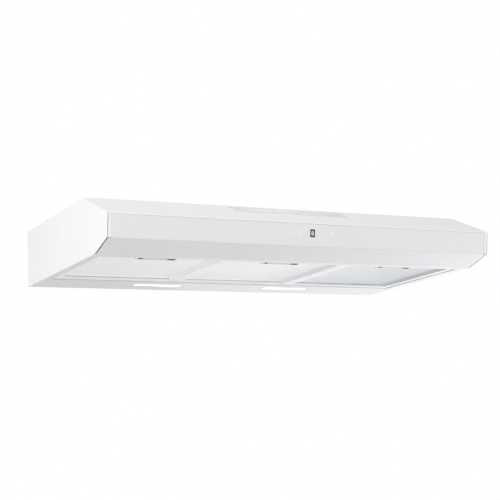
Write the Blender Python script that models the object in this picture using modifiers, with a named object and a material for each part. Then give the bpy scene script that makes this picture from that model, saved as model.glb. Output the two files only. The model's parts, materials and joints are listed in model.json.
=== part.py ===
"""Under-cabinet range hood, 90 cm class, as an assembly of separate pieces.

Metres, +Z up. X is the width, the hood's front faces -Y and its back lies against the wall at y = 0.
The world origin is the centre of the back panel's rear face. Inside this script every place is given
in hood coordinates, whose z starts at the underside of the bottom frame; one empty carries the shift.
"""

import math

import bmesh
import bpy
from mathutils import Matrix, Vector

MM = 0.001
GAP = 0.3 * MM  # clearance between two pieces that touch

# Outer shape of the casing, seen from its end: back, top, slope, front face, lower chamfer, underside
WIDTH = 900 * MM
HEIGHT = 124 * MM
SLOPE_TOP_Y = -369 * MM
FRONT_TOP = (-496 * MM, 68 * MM)
FRONT_FOOT = (-487 * MM, 20 * MM)
CREASE_Y = -419 * MM
SIDE_SHEET = 1.2 * MM
SHEET = 1.0 * MM

# Front face
GLASS_THICK = 4 * MM
FRONT_EDGE = 2 * MM  # strip of the canopy that shows above the glass
GLASS_TOP_Z = FRONT_TOP[1] - FRONT_EDGE - 0.35 * MM
GLASS_FOOT_Z = FRONT_FOOT[1] + 1.4 * MM
END_RETURN = 9 * MM  # width of the canopy's end posts, beside the glass
POST_GAP = 1.2 * MM  # shadow gap between a post and the side panel
CHAMFER_GAP = 2.5 * MM  # shadow gap between the lower chamfer and the side panel
DISPLAY_SIZE = (15 * MM, 16 * MM)
DISPLAY_Z = 47 * MM

# Filter opening in the underside, and the three filters in it
OPENING_HALF = 430 * MM
OPENING_FRONT = -397 * MM
OPENING_REAR = -105 * MM
FRAME_WALL_TOP = 17.5 * MM
FILTER_PITCH = 2 * OPENING_HALF / 3
FILTER_HALF = FILTER_PITCH / 2 - 1 * MM
FILTER_FRONT = OPENING_FRONT + 1.5 * MM
FILTER_REAR = OPENING_REAR - 1.5 * MM
FILTER_FOOT = 2.5 * MM
RAIL_WIDTH = 12 * MM
RAIL_HEIGHT = 10.5 * MM
FACE_Z = 9.5 * MM
FACE_SHEET = 0.6 * MM
MESH_TOP = 14 * MM
LATCH_SHIFT = -13 * MM  # the latch's middle against the filter's
LATCH_HALF = 45 * MM
LATCH_REAR = -366.5 * MM
LATCH_TOP = FACE_Z - GAP
POCKET_HALF = 40.5 * MM
POCKET_FRONT, POCKET_REAR = -391.5 * MM, -370 * MM
POCKET_ROOF = 8.4 * MM
CATCH_WAY_HALF = 7.5 * MM
CATCH_WAY_Z = (4.1 * MM, 8.1 * MM)
SPRING_Z = 5.4 * MM
LUG_REACH = 100 * MM
LUG_SIZE = (14 * MM, 3 * MM, 1.5 * MM)

# Lamps in the rear strip
LAMP_X = 165 * MM
LAMP_Y = -64 * MM
LAMP_SIZE = (120 * MM, 30 * MM)

# Air-outlet slots near the top of the slope
SLOT_HALF_SPAN = 140 * MM
SLOT_PITCH = 11 * MM
SLOT_WIDTH = 3.4 * MM
SLOT_LENGTH = 52 * MM
SLOT_FROM_TOP = 8 * MM

# Blower: a flat vertical-axis wheel in a scroll, blowing into a box under the duct collar
WHEEL_X, WHEEL_Y = -225 * MM, -190 * MM
WHEEL_R = 95 * MM
BLADE_COUNT = 32
SCROLL_FLOOR_Z = 36 * MM
SCROLL_TOP_Z = 114.5 * MM
SCROLL_WALL = 1.5 * MM
SCROLL_R_START, SCROLL_R_END = 107 * MM, 150 * MM
TONGUE_ANGLE = math.radians(35)
INLET_R = 78 * MM
MOTOR_R = 44 * MM
SHAFT_R = 4 * MM

# Recess pressed into the roof round the duct, so that the collar's flange and screws lie below the roof
RECESS_HALF = 100 * MM
RECESS_CORNER = 14 * MM
RECESS_FLOOR_Z = HEIGHT - 5.5 * MM

# Duct
DUCT_Y = -125 * MM
DUCT_R = 75 * MM
FLANGE_SHEET = 1.5 * MM
COLLAR_SCREW_REACH = 85 * MM
COLLAR_TOP = 149 * MM
FLAP_Z = 116 * MM
FLAP_R = 71.5 * MM
OUTLET_BOX_HALF = 82 * MM

# Control box
BOX_LOW = (130 * MM, -215 * MM, 72 * MM)
BOX_HIGH = (330 * MM, -75 * MM, 121.5 * MM)
GLAND_AT = (385 * MM, -60 * MM)

# Keyholes for the cabinet screws: a round way in for the head and a slot for the neck
KEYHOLE_X = 400 * MM
KEYHOLE_Y = (-330 * MM, -52 * MM)
KEYHOLE_R, KEYHOLE_NECK_R = 4.5 * MM, 2.5 * MM
KEYHOLE_TRAVEL = 12 * MM


# ---------------------------------------------------------------- scene and materials

for old in list(bpy.data.objects):
    bpy.data.objects.remove(old, do_unlink=True)


def new_collection(name):
    group = bpy.data.collections.new(name)
    bpy.context.scene.collection.children.link(group)
    return group


PARTS = new_collection("range_hood")
CUTTERS = new_collection("cutters")
CUTTERS.hide_render = True


def material(name, colour, roughness, metallic=0.0):
    made = bpy.data.materials.new(name)
    made.use_nodes = True
    shader = made.node_tree.nodes["Principled BSDF"]
    shader.inputs["Base Color"].default_value = (*colour, 1.0)
    shader.inputs["Roughness"].default_value = roughness
    shader.inputs["Metallic"].default_value = metallic
    return made


WHITE_PAINT = material("white_paint", (0.90, 0.90, 0.90), 0.35)
PALE_PAINT = material("pale_paint", (0.80, 0.80, 0.81), 0.40)
WHITE_GLASS = material("white_glass", (0.86, 0.86, 0.86), 0.08)
DARK_GLASS = material("dark_glass", (0.02, 0.02, 0.025), 0.10)
ALUMINIUM = material("aluminium", (0.80, 0.82, 0.84), 0.35, 1.0)
MESH_METAL = material("mesh_metal", (0.66, 0.70, 0.73), 0.45, 1.0)
ZINC = material("zinc_sheet", (0.62, 0.63, 0.64), 0.40, 1.0)
STEEL = material("steel", (0.55, 0.55, 0.56), 0.30, 1.0)
BLACK_PLASTIC = material("black_plastic", (0.03, 0.03, 0.03), 0.50)
GREY_PLASTIC = material("grey_plastic", (0.55, 0.56, 0.57), 0.50)
BOARD_GREEN = material("board_green", (0.03, 0.20, 0.09), 0.50)
LENS = material("lamp_lens", (0.95, 0.95, 0.92), 0.30)
CABLE = material("cable_grey", (0.30, 0.31, 0.32), 0.55)


def empty(name, at, parent=None):
    """A named point that pieces hang on; 'at' is in hood coordinates."""
    point = bpy.data.objects.new(name, None)
    point.empty_display_size = 0.02
    PARTS.objects.link(point)
    point["at"] = at
    if parent:
        point.parent = parent
        point.location = Vector(at) - Vector(parent["at"])
    return point


HOOD = empty("hood_underside", (0, 0, 0))
HOOD.location = (0, 0, -HEIGHT / 2)


def place(name, data, at, paint, parent=None):
    """Adds an object at 'at', in hood coordinates, on an unturned parent. With no paint it is a cutter."""
    holder = parent or HOOD
    made = bpy.data.objects.new(name, data)
    made.parent = holder
    made.location = Vector(at) - Vector(holder["at"])
    if paint:
        data.materials.append(paint)
        PARTS.objects.link(made)
    else:
        CUTTERS.objects.link(made)
        made.hide_render = True
        made.display_type = "WIRE"
    return made


# ---------------------------------------------------------------- shapes


def smooth(made, angle=40):
    made.data.shade_smooth()
    made.data.set_sharp_from_angle(angle=math.radians(angle))
    return made


def mesh_from(name, build, closed=True):
    """A new mesh filled by build(bm); an open sheet keeps the facing it was built with."""
    mesh = bpy.data.meshes.new(name)
    bm = bmesh.new()
    build(bm)
    if closed:
        bmesh.ops.recalc_face_normals(bm, faces=bm.faces)
    bm.to_mesh(mesh)
    bm.free()
    return mesh


def block(name, low, high, paint=None, parent=None, bevel=0.0, turn=None):
    """A rectangular block between two corners, turned by (angle, axis) about its own centre."""
    low, high = Vector(low), Vector(high)

    def build(bm):
        bmesh.ops.create_cube(bm, size=1.0)
        bmesh.ops.scale(bm, vec=high - low, verts=bm.verts)
        if turn:
            bmesh.ops.rotate(bm, cent=(0, 0, 0), matrix=Matrix.Rotation(turn[0], 3, turn[1]), verts=bm.verts)

    made = place(name, mesh_from(name, build), (low + high) / 2, paint, parent)
    if bevel:
        rounding = made.modifiers.new("edges", "BEVEL")
        rounding.width = bevel
        rounding.segments = 2
    return made


def drum(name, at, radius, length, paint=None, parent=None, axis="Z", steps=32):
    """A cylinder centred on 'at'."""
    turns = {"X": Matrix.Rotation(math.pi / 2, 3, "Y"), "Y": Matrix.Rotation(math.pi / 2, 3, "X")}

    def build(bm):
        bmesh.ops.create_cone(
            bm, cap_ends=True, segments=steps, radius1=radius, radius2=radius, depth=length
        )
        if axis in turns:
            bmesh.ops.rotate(bm, cent=(0, 0, 0), matrix=turns[axis], verts=bm.verts)

    return smooth(place(name, mesh_from(name, build), at, paint, parent))


def turned(name, profile, centre, paint=None, parent=None, steps=40):
    """A closed profile of (radius, z) corners, outer side first and downwards, turned about Z."""
    mesh = bpy.data.meshes.new(name)
    corners = [(radius, 0, z) for radius, z in profile]
    edges = [(i, (i + 1) % len(corners)) for i in range(len(corners))]
    if profile[0][0] == 0:  # both ends lie on the axis
        edges.pop()
    mesh.from_pydata(corners, edges, [])
    made = place(name, mesh, (centre[0], centre[1], 0), paint, parent)
    screw = made.modifiers.new("turn", "SCREW")
    screw.steps = screw.render_steps = steps
    screw.use_merge_vertices = True
    screw.merge_threshold = 0.00001
    screw.use_smooth_shade = False
    return made


def outline(name, loops, low, high, paint=None, parent=None, plane="XY"):
    """A flat plate with holes: closed loops of 2D points, from 'low' to 'high' across its plane."""
    curve = bpy.data.curves.new(name, "CURVE")
    curve.dimensions = "2D"
    curve.fill_mode = "BOTH"
    curve.extrude = (high - low) / 2
    for loop in loops:
        spline = curve.splines.new("POLY")
        spline.points.add(len(loop) - 1)
        for point, (a, b) in zip(spline.points, loop):
            point.co = (a, b, 0, 1)
        spline.use_cyclic_u = True
    middle = (low + high) / 2
    at = {"XY": (0, 0, middle), "YZ": (middle, 0, 0), "XZ": (0, middle, 0)}[plane]
    made = place(name, curve, at, paint, parent)
    made.rotation_euler = {
        "XY": (0, 0, 0),
        "YZ": (math.pi / 2, 0, math.pi / 2),
        "XZ": (math.pi / 2, 0, 0),
    }[plane]
    return as_mesh(made, paint)


def as_mesh(made, paint):
    """The same object as one welded mesh, which a modifier can cut."""
    graph = bpy.context.evaluated_depsgraph_get()
    graph.update()
    mesh = bpy.data.meshes.new_from_object(made.evaluated_get(graph))
    bm = bmesh.new()
    bm.from_mesh(mesh)
    bmesh.ops.remove_doubles(bm, verts=bm.verts, dist=0.00001)
    bm.transform(made.rotation_euler.to_matrix().to_4x4())
    bmesh.ops.recalc_face_normals(bm, faces=bm.faces)
    bm.to_mesh(mesh)
    bm.free()
    name, holder, location = made.name, made.parent, made.location.copy()
    bpy.data.objects.remove(made, do_unlink=True)
    solid = place(name, mesh, (0, 0, 0), paint, holder)
    solid.location = location
    while len(mesh.materials) > 1:
        mesh.materials.pop()
    return solid


def folded(name, profile, low, high, paint=None, along="X"):
    """Sheet folded along a profile of (y, z) or (x, z) points, swept from 'low' to 'high'.

    The profile is the outer surface. The sheet's thickness lies to the left of its direction of travel.
    """

    def at(sweep, a, b):
        return (sweep, a, b) if along == "X" else (a, sweep, b)

    def build(bm):
        start = [bm.verts.new(at(low, a, b)) for a, b in profile]
        end = [bm.verts.new(at(high, a, b)) for a, b in profile]
        for i in range(len(profile) - 1):
            corners = [start[i], start[i + 1], end[i + 1], end[i]]
            bm.faces.new(corners if along == "X" else reversed(corners))

    made = place(name, mesh_from(name, build, closed=False), (0, 0, 0), paint)
    return thicken(made, SHEET, inwards=True)


def thicken(made, thickness, inwards):
    """Gives an open sheet its thickness, behind its faces or in front of them."""
    solid = made.modifiers.new("sheet", "SOLIDIFY")
    solid.thickness = thickness
    solid.offset = -1 if inwards else 1
    solid.use_even_offset = True
    return made


def tube(name, points, radius, paint, parent=None, resolution=2):
    """A round wire or lead along the points, with closed ends."""
    curve = bpy.data.curves.new(name, "CURVE")
    curve.dimensions = "3D"
    curve.bevel_depth = radius
    curve.bevel_resolution = resolution
    curve.use_fill_caps = True
    spline = curve.splines.new("POLY")
    spline.points.add(len(points) - 1)
    for point, place_at in zip(spline.points, points):
        point.co = (*place_at, 1)
    spline.use_smooth = True
    return place(name, curve, (0, 0, 0), paint, parent)


def smooth_route(points, per_span=5):
    """Points on a smooth curve through the given ones."""
    route = []
    padded = [points[0], *points, points[-1]]
    for i in range(len(points) - 1):
        before, start, end, after = (Vector(p) for p in padded[i : i + 4])
        for step in range(per_span):
            t = step / per_span
            route.append(
                0.5
                * (
                    2 * start
                    + (end - before) * t
                    + (2 * before - 5 * start + 4 * end - after) * t**2
                    + (3 * start - before - 3 * end + after) * t**3
                )
            )
    route.append(Vector(points[-1]))
    return route


def boolean(made, cutter, operation="DIFFERENCE"):
    step = made.modifiers.new(cutter.name, "BOOLEAN")
    step.operation = operation
    step.object = cutter
    step.solver = "EXACT"
    return made


def cut(made, *cutters):
    for cutter in cutters:
        boolean(made, cutter)
    return made


def join(made, *added):
    for piece in added:
        boolean(made, piece, "UNION")
    return made


def rectangle(x0, y0, x1, y1):
    return [(x0, y0), (x1, y0), (x1, y1), (x0, y1)]


def circle(x, y, radius, count=40):
    turns = (2 * math.pi * i / count for i in range(count))
    return [(x + radius * math.cos(a), y + radius * math.sin(a)) for a in turns]


def front_face_y(z):
    """y of the front face's outer surface at height z."""
    (top_y, top_z), (foot_y, foot_z) = FRONT_TOP, FRONT_FOOT
    return foot_y + (top_y - foot_y) * (z - foot_z) / (top_z - foot_z)


def face_strip(foot_z, top_z, depth):
    """Profile of a flat strip whose outer side lies in the front face."""
    return [
        (front_face_y(top_z), top_z),
        (front_face_y(foot_z), foot_z),
        (front_face_y(foot_z) + depth, foot_z),
        (front_face_y(top_z) + depth, top_z),
    ]


# ---------------------------------------------------------------- casing


def side_panel(name, sign):
    """Flat end sheet in the shape of the hood's end."""
    profile = [
        (0, 0),
        (0, HEIGHT),
        (SLOPE_TOP_Y, HEIGHT),
        FRONT_TOP,
        FRONT_FOOT,
        (CREASE_Y, 0),
    ]
    low, high = sorted((sign * WIDTH / 2, sign * (WIDTH / 2 - SIDE_SHEET)))
    return outline(name, [profile], low, high, WHITE_PAINT, plane="YZ")


def back_panel():
    half = WIDTH / 2 - SIDE_SHEET - GAP
    return block("back_panel", (-half, -SHEET, 1.5 * MM), (half, 0, HEIGHT - SHEET - 0.5 * MM), ZINC)


def collar_screw_places():
    reach = COLLAR_SCREW_REACH
    angles = (math.radians(45 + 90 * i) for i in range(4))
    return [(reach * math.cos(a), DUCT_Y + reach * math.sin(a)) for a in angles]


def keyhole(x, y):
    """Round hole with a narrower slot that runs from it towards the wall."""
    shoulder = math.asin(KEYHOLE_NECK_R / KEYHOLE_R)
    round_part = [
        math.pi / 2 + shoulder + (2 * math.pi - 2 * shoulder) * i / 20 for i in range(21)
    ]
    neck = [math.pi * i / 10 for i in range(11)]
    return [(x + KEYHOLE_R * math.cos(a), y + KEYHOLE_R * math.sin(a)) for a in round_part] + [
        (x + KEYHOLE_NECK_R * math.cos(a), y + KEYHOLE_TRAVEL + KEYHOLE_NECK_R * math.sin(a)) for a in neck
    ]


def rounded_square(half, corner):
    """Outline of a square round the duct's centre, with rounded corners."""
    points = []
    for quarter in range(4):
        for step in range(7):
            angle = math.pi / 2 * (quarter + step / 6)
            side_x = 1 if quarter in (0, 3) else -1
            side_y = 1 if quarter in (0, 1) else -1
            x = side_x * (half - corner) + corner * math.cos(angle)
            y = side_y * (half - corner) + corner * math.sin(angle)
            points.append((x, DUCT_Y + y))
    return points


def top_panel():
    """Roof sheet with four keyholes, the cable hole and a square recess that holds the duct collar."""
    half = WIDTH / 2 - SIDE_SHEET - GAP
    edge = rectangle(-half, SLOPE_TOP_Y + GAP, half, -SHEET - GAP)
    holes = [keyhole(x, y) for x in (-KEYHOLE_X, KEYHOLE_X) for y in KEYHOLE_Y]
    middle = (RECESS_HALF + SHEET / 2, RECESS_CORNER + SHEET / 2)
    holes += [circle(*GLAND_AT, 8.3 * MM, 24), rounded_square(*middle)]
    roof = outline("top_panel", [edge, *holes], HEIGHT - SHEET, HEIGHT, WHITE_PAINT)
    floor_low = RECESS_FLOOR_Z - SHEET
    wall = outline(
        "recess_wall",
        [
            rounded_square(RECESS_HALF + SHEET, RECESS_CORNER + SHEET),
            rounded_square(RECESS_HALF, RECESS_CORNER),
        ],
        floor_low,
        HEIGHT,
    )
    floor_holes = [circle(0, DUCT_Y, DUCT_R + 1.5 * MM, 48)]
    floor_holes += [circle(x, y, 2.2 * MM, 12) for x, y in collar_screw_places()]
    floor = outline(
        "recess_floor",
        [rounded_square(*middle), *floor_holes],
        floor_low,
        RECESS_FLOOR_Z,
    )
    return join(roof, wall, floor)


def slope_slots():
    """One cutter for each air-outlet slot, square to the slope."""
    top = Vector((SLOPE_TOP_Y, HEIGHT))
    down = (Vector(FRONT_TOP) - top).normalized()
    middle = top + down * (SLOT_FROM_TOP + SLOT_LENGTH / 2)
    tilt = math.atan2(-down.y, -down.x)
    count = int(2 * SLOT_HALF_SPAN / SLOT_PITCH)
    for i in range(count):
        x = (i - (count - 1) / 2) * SLOT_PITCH
        low = (x - SLOT_WIDTH / 2, middle.x - SLOT_LENGTH / 2, middle.y - 6 * MM)
        high = (x + SLOT_WIDTH / 2, middle.x + SLOT_LENGTH / 2, middle.y + 6 * MM)
        yield block(f"slot_{i:02d}", low, high, turn=(tilt, "X"))


def front_canopy():
    """Slope sheet, folded over the front edge and stepped back into the carrier that holds the glass.

    A post at each end of the carrier frames the glass.
    """
    back = GLASS_THICK + GAP
    edge_z, foot_z = FRONT_TOP[1] - FRONT_EDGE, 23 * MM
    foot_y = front_face_y(foot_z) + back
    profile = [
        (SLOPE_TOP_Y - GAP, HEIGHT),
        FRONT_TOP,
        (front_face_y(edge_z), edge_z),
        (front_face_y(edge_z) + back, edge_z - 0.3 * MM),
        (foot_y, foot_z),
        (foot_y + 9 * MM, foot_z + 0.8 * MM),
    ]
    half = WIDTH / 2 - SIDE_SHEET - GAP
    canopy = folded("front_canopy", profile, -half, half, WHITE_PAINT)
    reach_x, reach_z = (size / 2 + 1 * MM for size in DISPLAY_SIZE)
    hole = block(
        "display_hole",
        (-reach_x, FRONT_TOP[0], DISPLAY_Z - reach_z),
        (reach_x, FRONT_TOP[0] + 20 * MM, DISPLAY_Z + reach_z),
    )
    cut(canopy, hole, *slope_slots())
    post = face_strip(GLASS_FOOT_Z, edge_z + SHEET / 2, back + SHEET / 2)
    inner, outer = WIDTH / 2 - END_RETURN, WIDTH / 2 - SIDE_SHEET - POST_GAP
    for side, low, high in (("left", -outer, -inner), ("right", inner, outer)):
        join(canopy, outline(f"canopy_post_{side}", [post], low, high, plane="YZ"))
    return canopy


def front_glass():
    """Back-painted glass strip between the ends' returns, leaning back towards its foot."""
    half = WIDTH / 2 - END_RETURN - GAP
    strip = face_strip(GLASS_FOOT_Z, GLASS_TOP_Z, GLASS_THICK)
    return outline("front_glass", [strip], -half, half, WHITE_GLASS, plane="YZ")


def bottom_frame():
    """Lower chamfer, borders and rear strip pressed from one sheet, with a wall around the filter opening."""
    half = WIDTH / 2 - SIDE_SHEET - GAP
    bend = [(CREASE_Y + dy * MM, dz * MM) for dy, dz in ((-6, 1.8), (-3, 0.6), (0, 0.1), (4, 0))]
    profile = [
        (FRONT_FOOT[0] + 0.4 * MM, FRONT_FOOT[1]),
        *bend,
        (-SHEET - GAP, 0),
        (-SHEET - GAP, 10 * MM),
    ]
    sheet = folded("bottom_frame", profile, -half, half, PALE_PAINT)
    wall = SHEET
    rim = outline(
        "opening_wall",
        [
            rectangle(
                -OPENING_HALF - wall, OPENING_FRONT - wall, OPENING_HALF + wall, OPENING_REAR + wall
            ),
            rectangle(-OPENING_HALF, OPENING_FRONT, OPENING_HALF, OPENING_REAR),
        ],
        0,
        FRAME_WALL_TOP,
    )
    opening = block(
        "opening",
        (-OPENING_HALF - wall / 2, OPENING_FRONT - wall / 2, -5 * MM),
        (OPENING_HALF + wall / 2, OPENING_REAR + wall / 2, 5 * MM),
    )
    lamp_holes = [
        block(
            f"lamp_hole_{i}",
            (x - LAMP_SIZE[0] / 2, LAMP_Y - LAMP_SIZE[1] / 2, -5 * MM),
            (x + LAMP_SIZE[0] / 2, LAMP_Y + LAMP_SIZE[1] / 2, 5 * MM),
        )
        for i, x in enumerate((-LAMP_X, LAMP_X))
    ]
    catch_slots = [
        block(
            f"catch_slot_{i}",
            (x - 9 * MM, OPENING_FRONT - 4 * MM, CATCH_WAY_Z[0] - 0.4 * MM),
            (x + 9 * MM, OPENING_FRONT + 4 * MM, CATCH_WAY_Z[1] + 0.6 * MM),
        )
        for i, x in enumerate(filter_centres())
    ]
    lug_slots = [
        block(
            f"lug_slot_{i}",
            (x - LUG_SIZE[0] / 2 - 1 * MM, OPENING_REAR - 3 * MM, FILTER_FOOT + 0.25 * MM),
            (x + LUG_SIZE[0] / 2 + 1 * MM, OPENING_REAR + 3 * MM, 9 * MM),
        )
        for i, x in enumerate(lug_places(filter_centres()))
    ]
    cut(sheet, opening, *lamp_holes)
    join(sheet, rim)
    chamfer_end = WIDTH / 2 - SIDE_SHEET - CHAMFER_GAP
    chamfer_ends = [
        block(
            f"chamfer_end_{i}",
            (min(x, x + x / abs(x) * 9 * MM), FRONT_FOOT[0] - 2 * MM, 0.05 * MM),
            (max(x, x + x / abs(x) * 9 * MM), CREASE_Y - 1 * MM, FRONT_FOOT[1] + 5 * MM),
        )
        for i, x in enumerate((-chamfer_end, chamfer_end))
    ]
    return cut(sheet, *catch_slots, *lug_slots, *chamfer_ends)


def cross_rail(name, x):
    """Upturned channel over the seam between two filters."""
    z, half, flange = FRAME_WALL_TOP + GAP, 12 * MM, 9 * MM
    profile = [(x - half, z + flange), (x - half, z), (x + half, z), (x + half, z + flange)]
    low, high = OPENING_FRONT - SHEET, OPENING_REAR + SHEET
    return folded(name, profile, low, high, ZINC, along="Y")


# ---------------------------------------------------------------- front electronics


def display_module():
    size_x, size_z = DISPLAY_SIZE
    y = front_face_y(DISPLAY_Z - size_z / 2) + GLASS_THICK + GAP
    return block(
        "display_module",
        (-size_x / 2, y, DISPLAY_Z - size_z / 2),
        (size_x / 2, y + 7 * MM, DISPLAY_Z + size_z / 2),
        DARK_GLASS,
    )


def touch_board():
    """Circuit board behind the carrier; it carries the display and the touch pads."""
    y = -479 * MM
    return block("touch_board", (-65 * MM, y, 34 * MM), (65 * MM, y + 1.6 * MM, 60 * MM), BOARD_GREEN)


# ---------------------------------------------------------------- control box


def control_box():
    """Plastic box under the top panel, open at its foot, which the lid closes."""
    low, high = Vector(BOX_LOW), Vector(BOX_HIGH)
    wall = Vector((2 * MM, 2 * MM, 2 * MM))
    shell = block("control_box", low, high, GREY_PLASTIC)
    hollow = block("control_box_hollow", low + wall - Vector((0, 0, 10 * MM)), high - wall)
    return cut(shell, hollow)


def control_box_lid():
    low, high = BOX_LOW, BOX_HIGH
    return block(
        "control_box_lid",
        (low[0], low[1], low[2] - GAP - 2 * MM),
        (high[0], high[1], low[2] - GAP),
        GREY_PLASTIC,
        bevel=0.5 * MM,
    )


def power_board():
    low, high = BOX_LOW, BOX_HIGH
    top = high[2] - 6 * MM
    return block(
        "power_board",
        (low[0] + 6 * MM, low[1] + 6 * MM, top - 1.6 * MM),
        (high[0] - 6 * MM, high[1] - 6 * MM, top),
        BOARD_GREEN,
    )


def board_parts():
    """Run capacitor and terminal block, under the power board."""
    board_foot = BOX_HIGH[2] - 7.6 * MM - GAP
    drum(
        "capacitor",
        (BOX_LOW[0] + 45 * MM, BOX_LOW[1] + 40 * MM, board_foot - 14 * MM),
        14 * MM,
        46 * MM,
        BLACK_PLASTIC,
        axis="X",
        steps=24,
    )
    x, y = BOX_HIGH[0] - 40 * MM, BOX_HIGH[1] - 26 * MM
    block(
        "terminal_block",
        (x - 24 * MM, y - 10 * MM, board_foot - 15 * MM),
        (x + 24 * MM, y + 10 * MM, board_foot),
        GREY_PLASTIC,
        bevel=1 * MM,
    )


def cable_gland():
    """Round gland pushed up through the roof, its flange inside; the mains cable's way is its bore."""
    seat, neck, bore = HEIGHT - SHEET - GAP, 7.9 * MM, 3.5 * MM
    foot, top = 110 * MM, 138 * MM
    profile = [
        (5.6 * MM, top),
        (neck, top - 4 * MM),
        (neck, seat),
        (12 * MM, seat),
        (12 * MM, seat - 3 * MM),
        (neck, seat - 3 * MM),
        (neck, foot),
        (bore, foot),
        (bore, top),
    ]
    return turned("cable_gland", profile, GLAND_AT, BLACK_PLASTIC, steps=24)


# ---------------------------------------------------------------- lamps


def lamp(side, x):
    """Flush lens with a flange above the sheet, a light board over it and a cover cup."""
    half_x, half_y = LAMP_SIZE[0] / 2 - GAP, LAMP_SIZE[1] / 2 - GAP
    sheet_top = SHEET + GAP
    flange, edge = 1.5 * MM, 3 * MM
    lens = block(
        f"led_lens_{side}",
        (x - half_x, LAMP_Y - half_y, 0.1 * MM),
        (x + half_x, LAMP_Y + half_y, sheet_top + flange / 2),
        LENS,
    )
    join(
        lens,
        block(
            f"led_lens_flange_{side}",
            (x - half_x - edge, LAMP_Y - half_y - edge, sheet_top),
            (x + half_x + edge, LAMP_Y + half_y + edge, sheet_top + flange),
        ),
    )
    board_foot = sheet_top + flange + GAP
    block(
        f"led_board_{side}",
        (x - half_x, LAMP_Y - half_y + 3 * MM, board_foot),
        (x + half_x, LAMP_Y + half_y - 3 * MM, board_foot + 1.2 * MM),
        BOARD_GREEN,
    )
    cup_x, cup_y, wall = half_x + edge + GAP, half_y + edge + GAP, 1.5 * MM
    cup = block(
        f"led_housing_{side}",
        (x - cup_x - wall, LAMP_Y - cup_y - wall, sheet_top),
        (x + cup_x + wall, LAMP_Y + cup_y + wall, 14 * MM),
        GREY_PLASTIC,
    )
    hollow = block(
        f"led_hollow_{side}",
        (x - cup_x, LAMP_Y - cup_y, sheet_top - 5 * MM),
        (x + cup_x, LAMP_Y + cup_y, 14 * MM - wall),
    )
    return cut(cup, hollow)


# ---------------------------------------------------------------- blower


def scroll_curve(wall=0.0):
    """The scroll seen from above: tongue, growing spiral, then the straight outer wall of the outlet.

    'wall' moves the curve outwards, to the wall's outer face.
    """
    steps = 22
    tongue_y = SCROLL_R_START * math.sin(TONGUE_ANGLE) - wall
    first = math.asin(tongue_y / (SCROLL_R_START + wall))
    sweep = first + math.radians(270)
    points = []
    for i in range(steps + 1):
        turn = first - sweep * i / steps
        radius = SCROLL_R_START + (SCROLL_R_END - SCROLL_R_START) * i / steps + wall
        points.append((WHEEL_X + radius * math.cos(turn), WHEEL_Y + radius * math.sin(turn)))
    outlet_x = -OUTLET_BOX_HALF - GAP
    return [(outlet_x, points[0][1]), *points, (outlet_x, points[-1][1])]


def scroll_side(angle, clear, z):
    """A point beside the scroll wall's outer face, in the direction 'angle' from the wheel's axis."""
    part = (TONGUE_ANGLE - angle) / (TONGUE_ANGLE + math.radians(270))
    radius = SCROLL_R_START + (SCROLL_R_END - SCROLL_R_START) * part + SCROLL_WALL + clear
    return (WHEEL_X + radius * math.cos(angle), WHEEL_Y + radius * math.sin(angle), z)


def blower_scroll():
    """Scroll floor with the inlet hole, and the scroll wall standing on it."""
    inner, outer = scroll_curve(), scroll_curve(SCROLL_WALL)
    floor = outline(
        "blower_scroll",
        [outer, circle(WHEEL_X, WHEEL_Y, INLET_R)],
        SCROLL_FLOOR_Z,
        SCROLL_FLOOR_Z + SCROLL_WALL,
        ZINC,
    )
    wall = outline(
        "scroll_wall",
        [[*outer, *reversed(inner)]],
        SCROLL_FLOOR_Z + 0.5 * MM,
        SCROLL_TOP_Z,
    )
    return join(floor, wall)


def blower_cover():
    low = SCROLL_TOP_Z + GAP
    return outline("blower_cover", [scroll_curve(SCROLL_WALL)], low, low + SCROLL_WALL, ZINC)


def inlet_grille():
    """Finger guard under the inlet: an outer ring, two inner rings and four crossing bars."""
    low, high = SCROLL_FLOOR_Z - GAP - 2.5 * MM, SCROLL_FLOOR_Z - GAP

    def ring(name, inner, outer, paint=None):
        profile = [(outer, high), (outer, low), (inner, low), (inner, high)]
        return turned(name, profile, (WHEEL_X, WHEEL_Y), paint, steps=36)

    grille = ring("inlet_grille", 76 * MM, 88 * MM, BLACK_PLASTIC)
    join(grille, ring("grille_ring_outer", 51 * MM, 54 * MM), ring("grille_ring_inner", 26 * MM, 29 * MM))
    for i in range(4):
        bar = block(
            f"grille_bar_{i}",
            (WHEEL_X - 80 * MM, WHEEL_Y - 1.5 * MM, low + 0.2 * MM),
            (WHEEL_X + 80 * MM, WHEEL_Y + 1.5 * MM, high - 0.2 * MM),
            turn=(i * math.pi / 4, "Z"),
        )
        join(grille, bar)
    return grille


def motor_body():
    """Motor hung from the blower cover, with a bore for its shaft."""
    top = SCROLL_TOP_Z
    profile = [
        (30 * MM, top),
        (30 * MM, top - 4 * MM),
        (MOTOR_R, top - 6 * MM),
        (MOTOR_R, 72 * MM),
        (MOTOR_R - 6 * MM, 69 * MM),
        (12 * MM, 69 * MM),
        (12 * MM, 67 * MM),
        (SHAFT_R + GAP, 67 * MM),
        (SHAFT_R + GAP, top),
    ]
    return turned("motor_body", profile, (WHEEL_X, WHEEL_Y), STEEL, steps=36)


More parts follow.
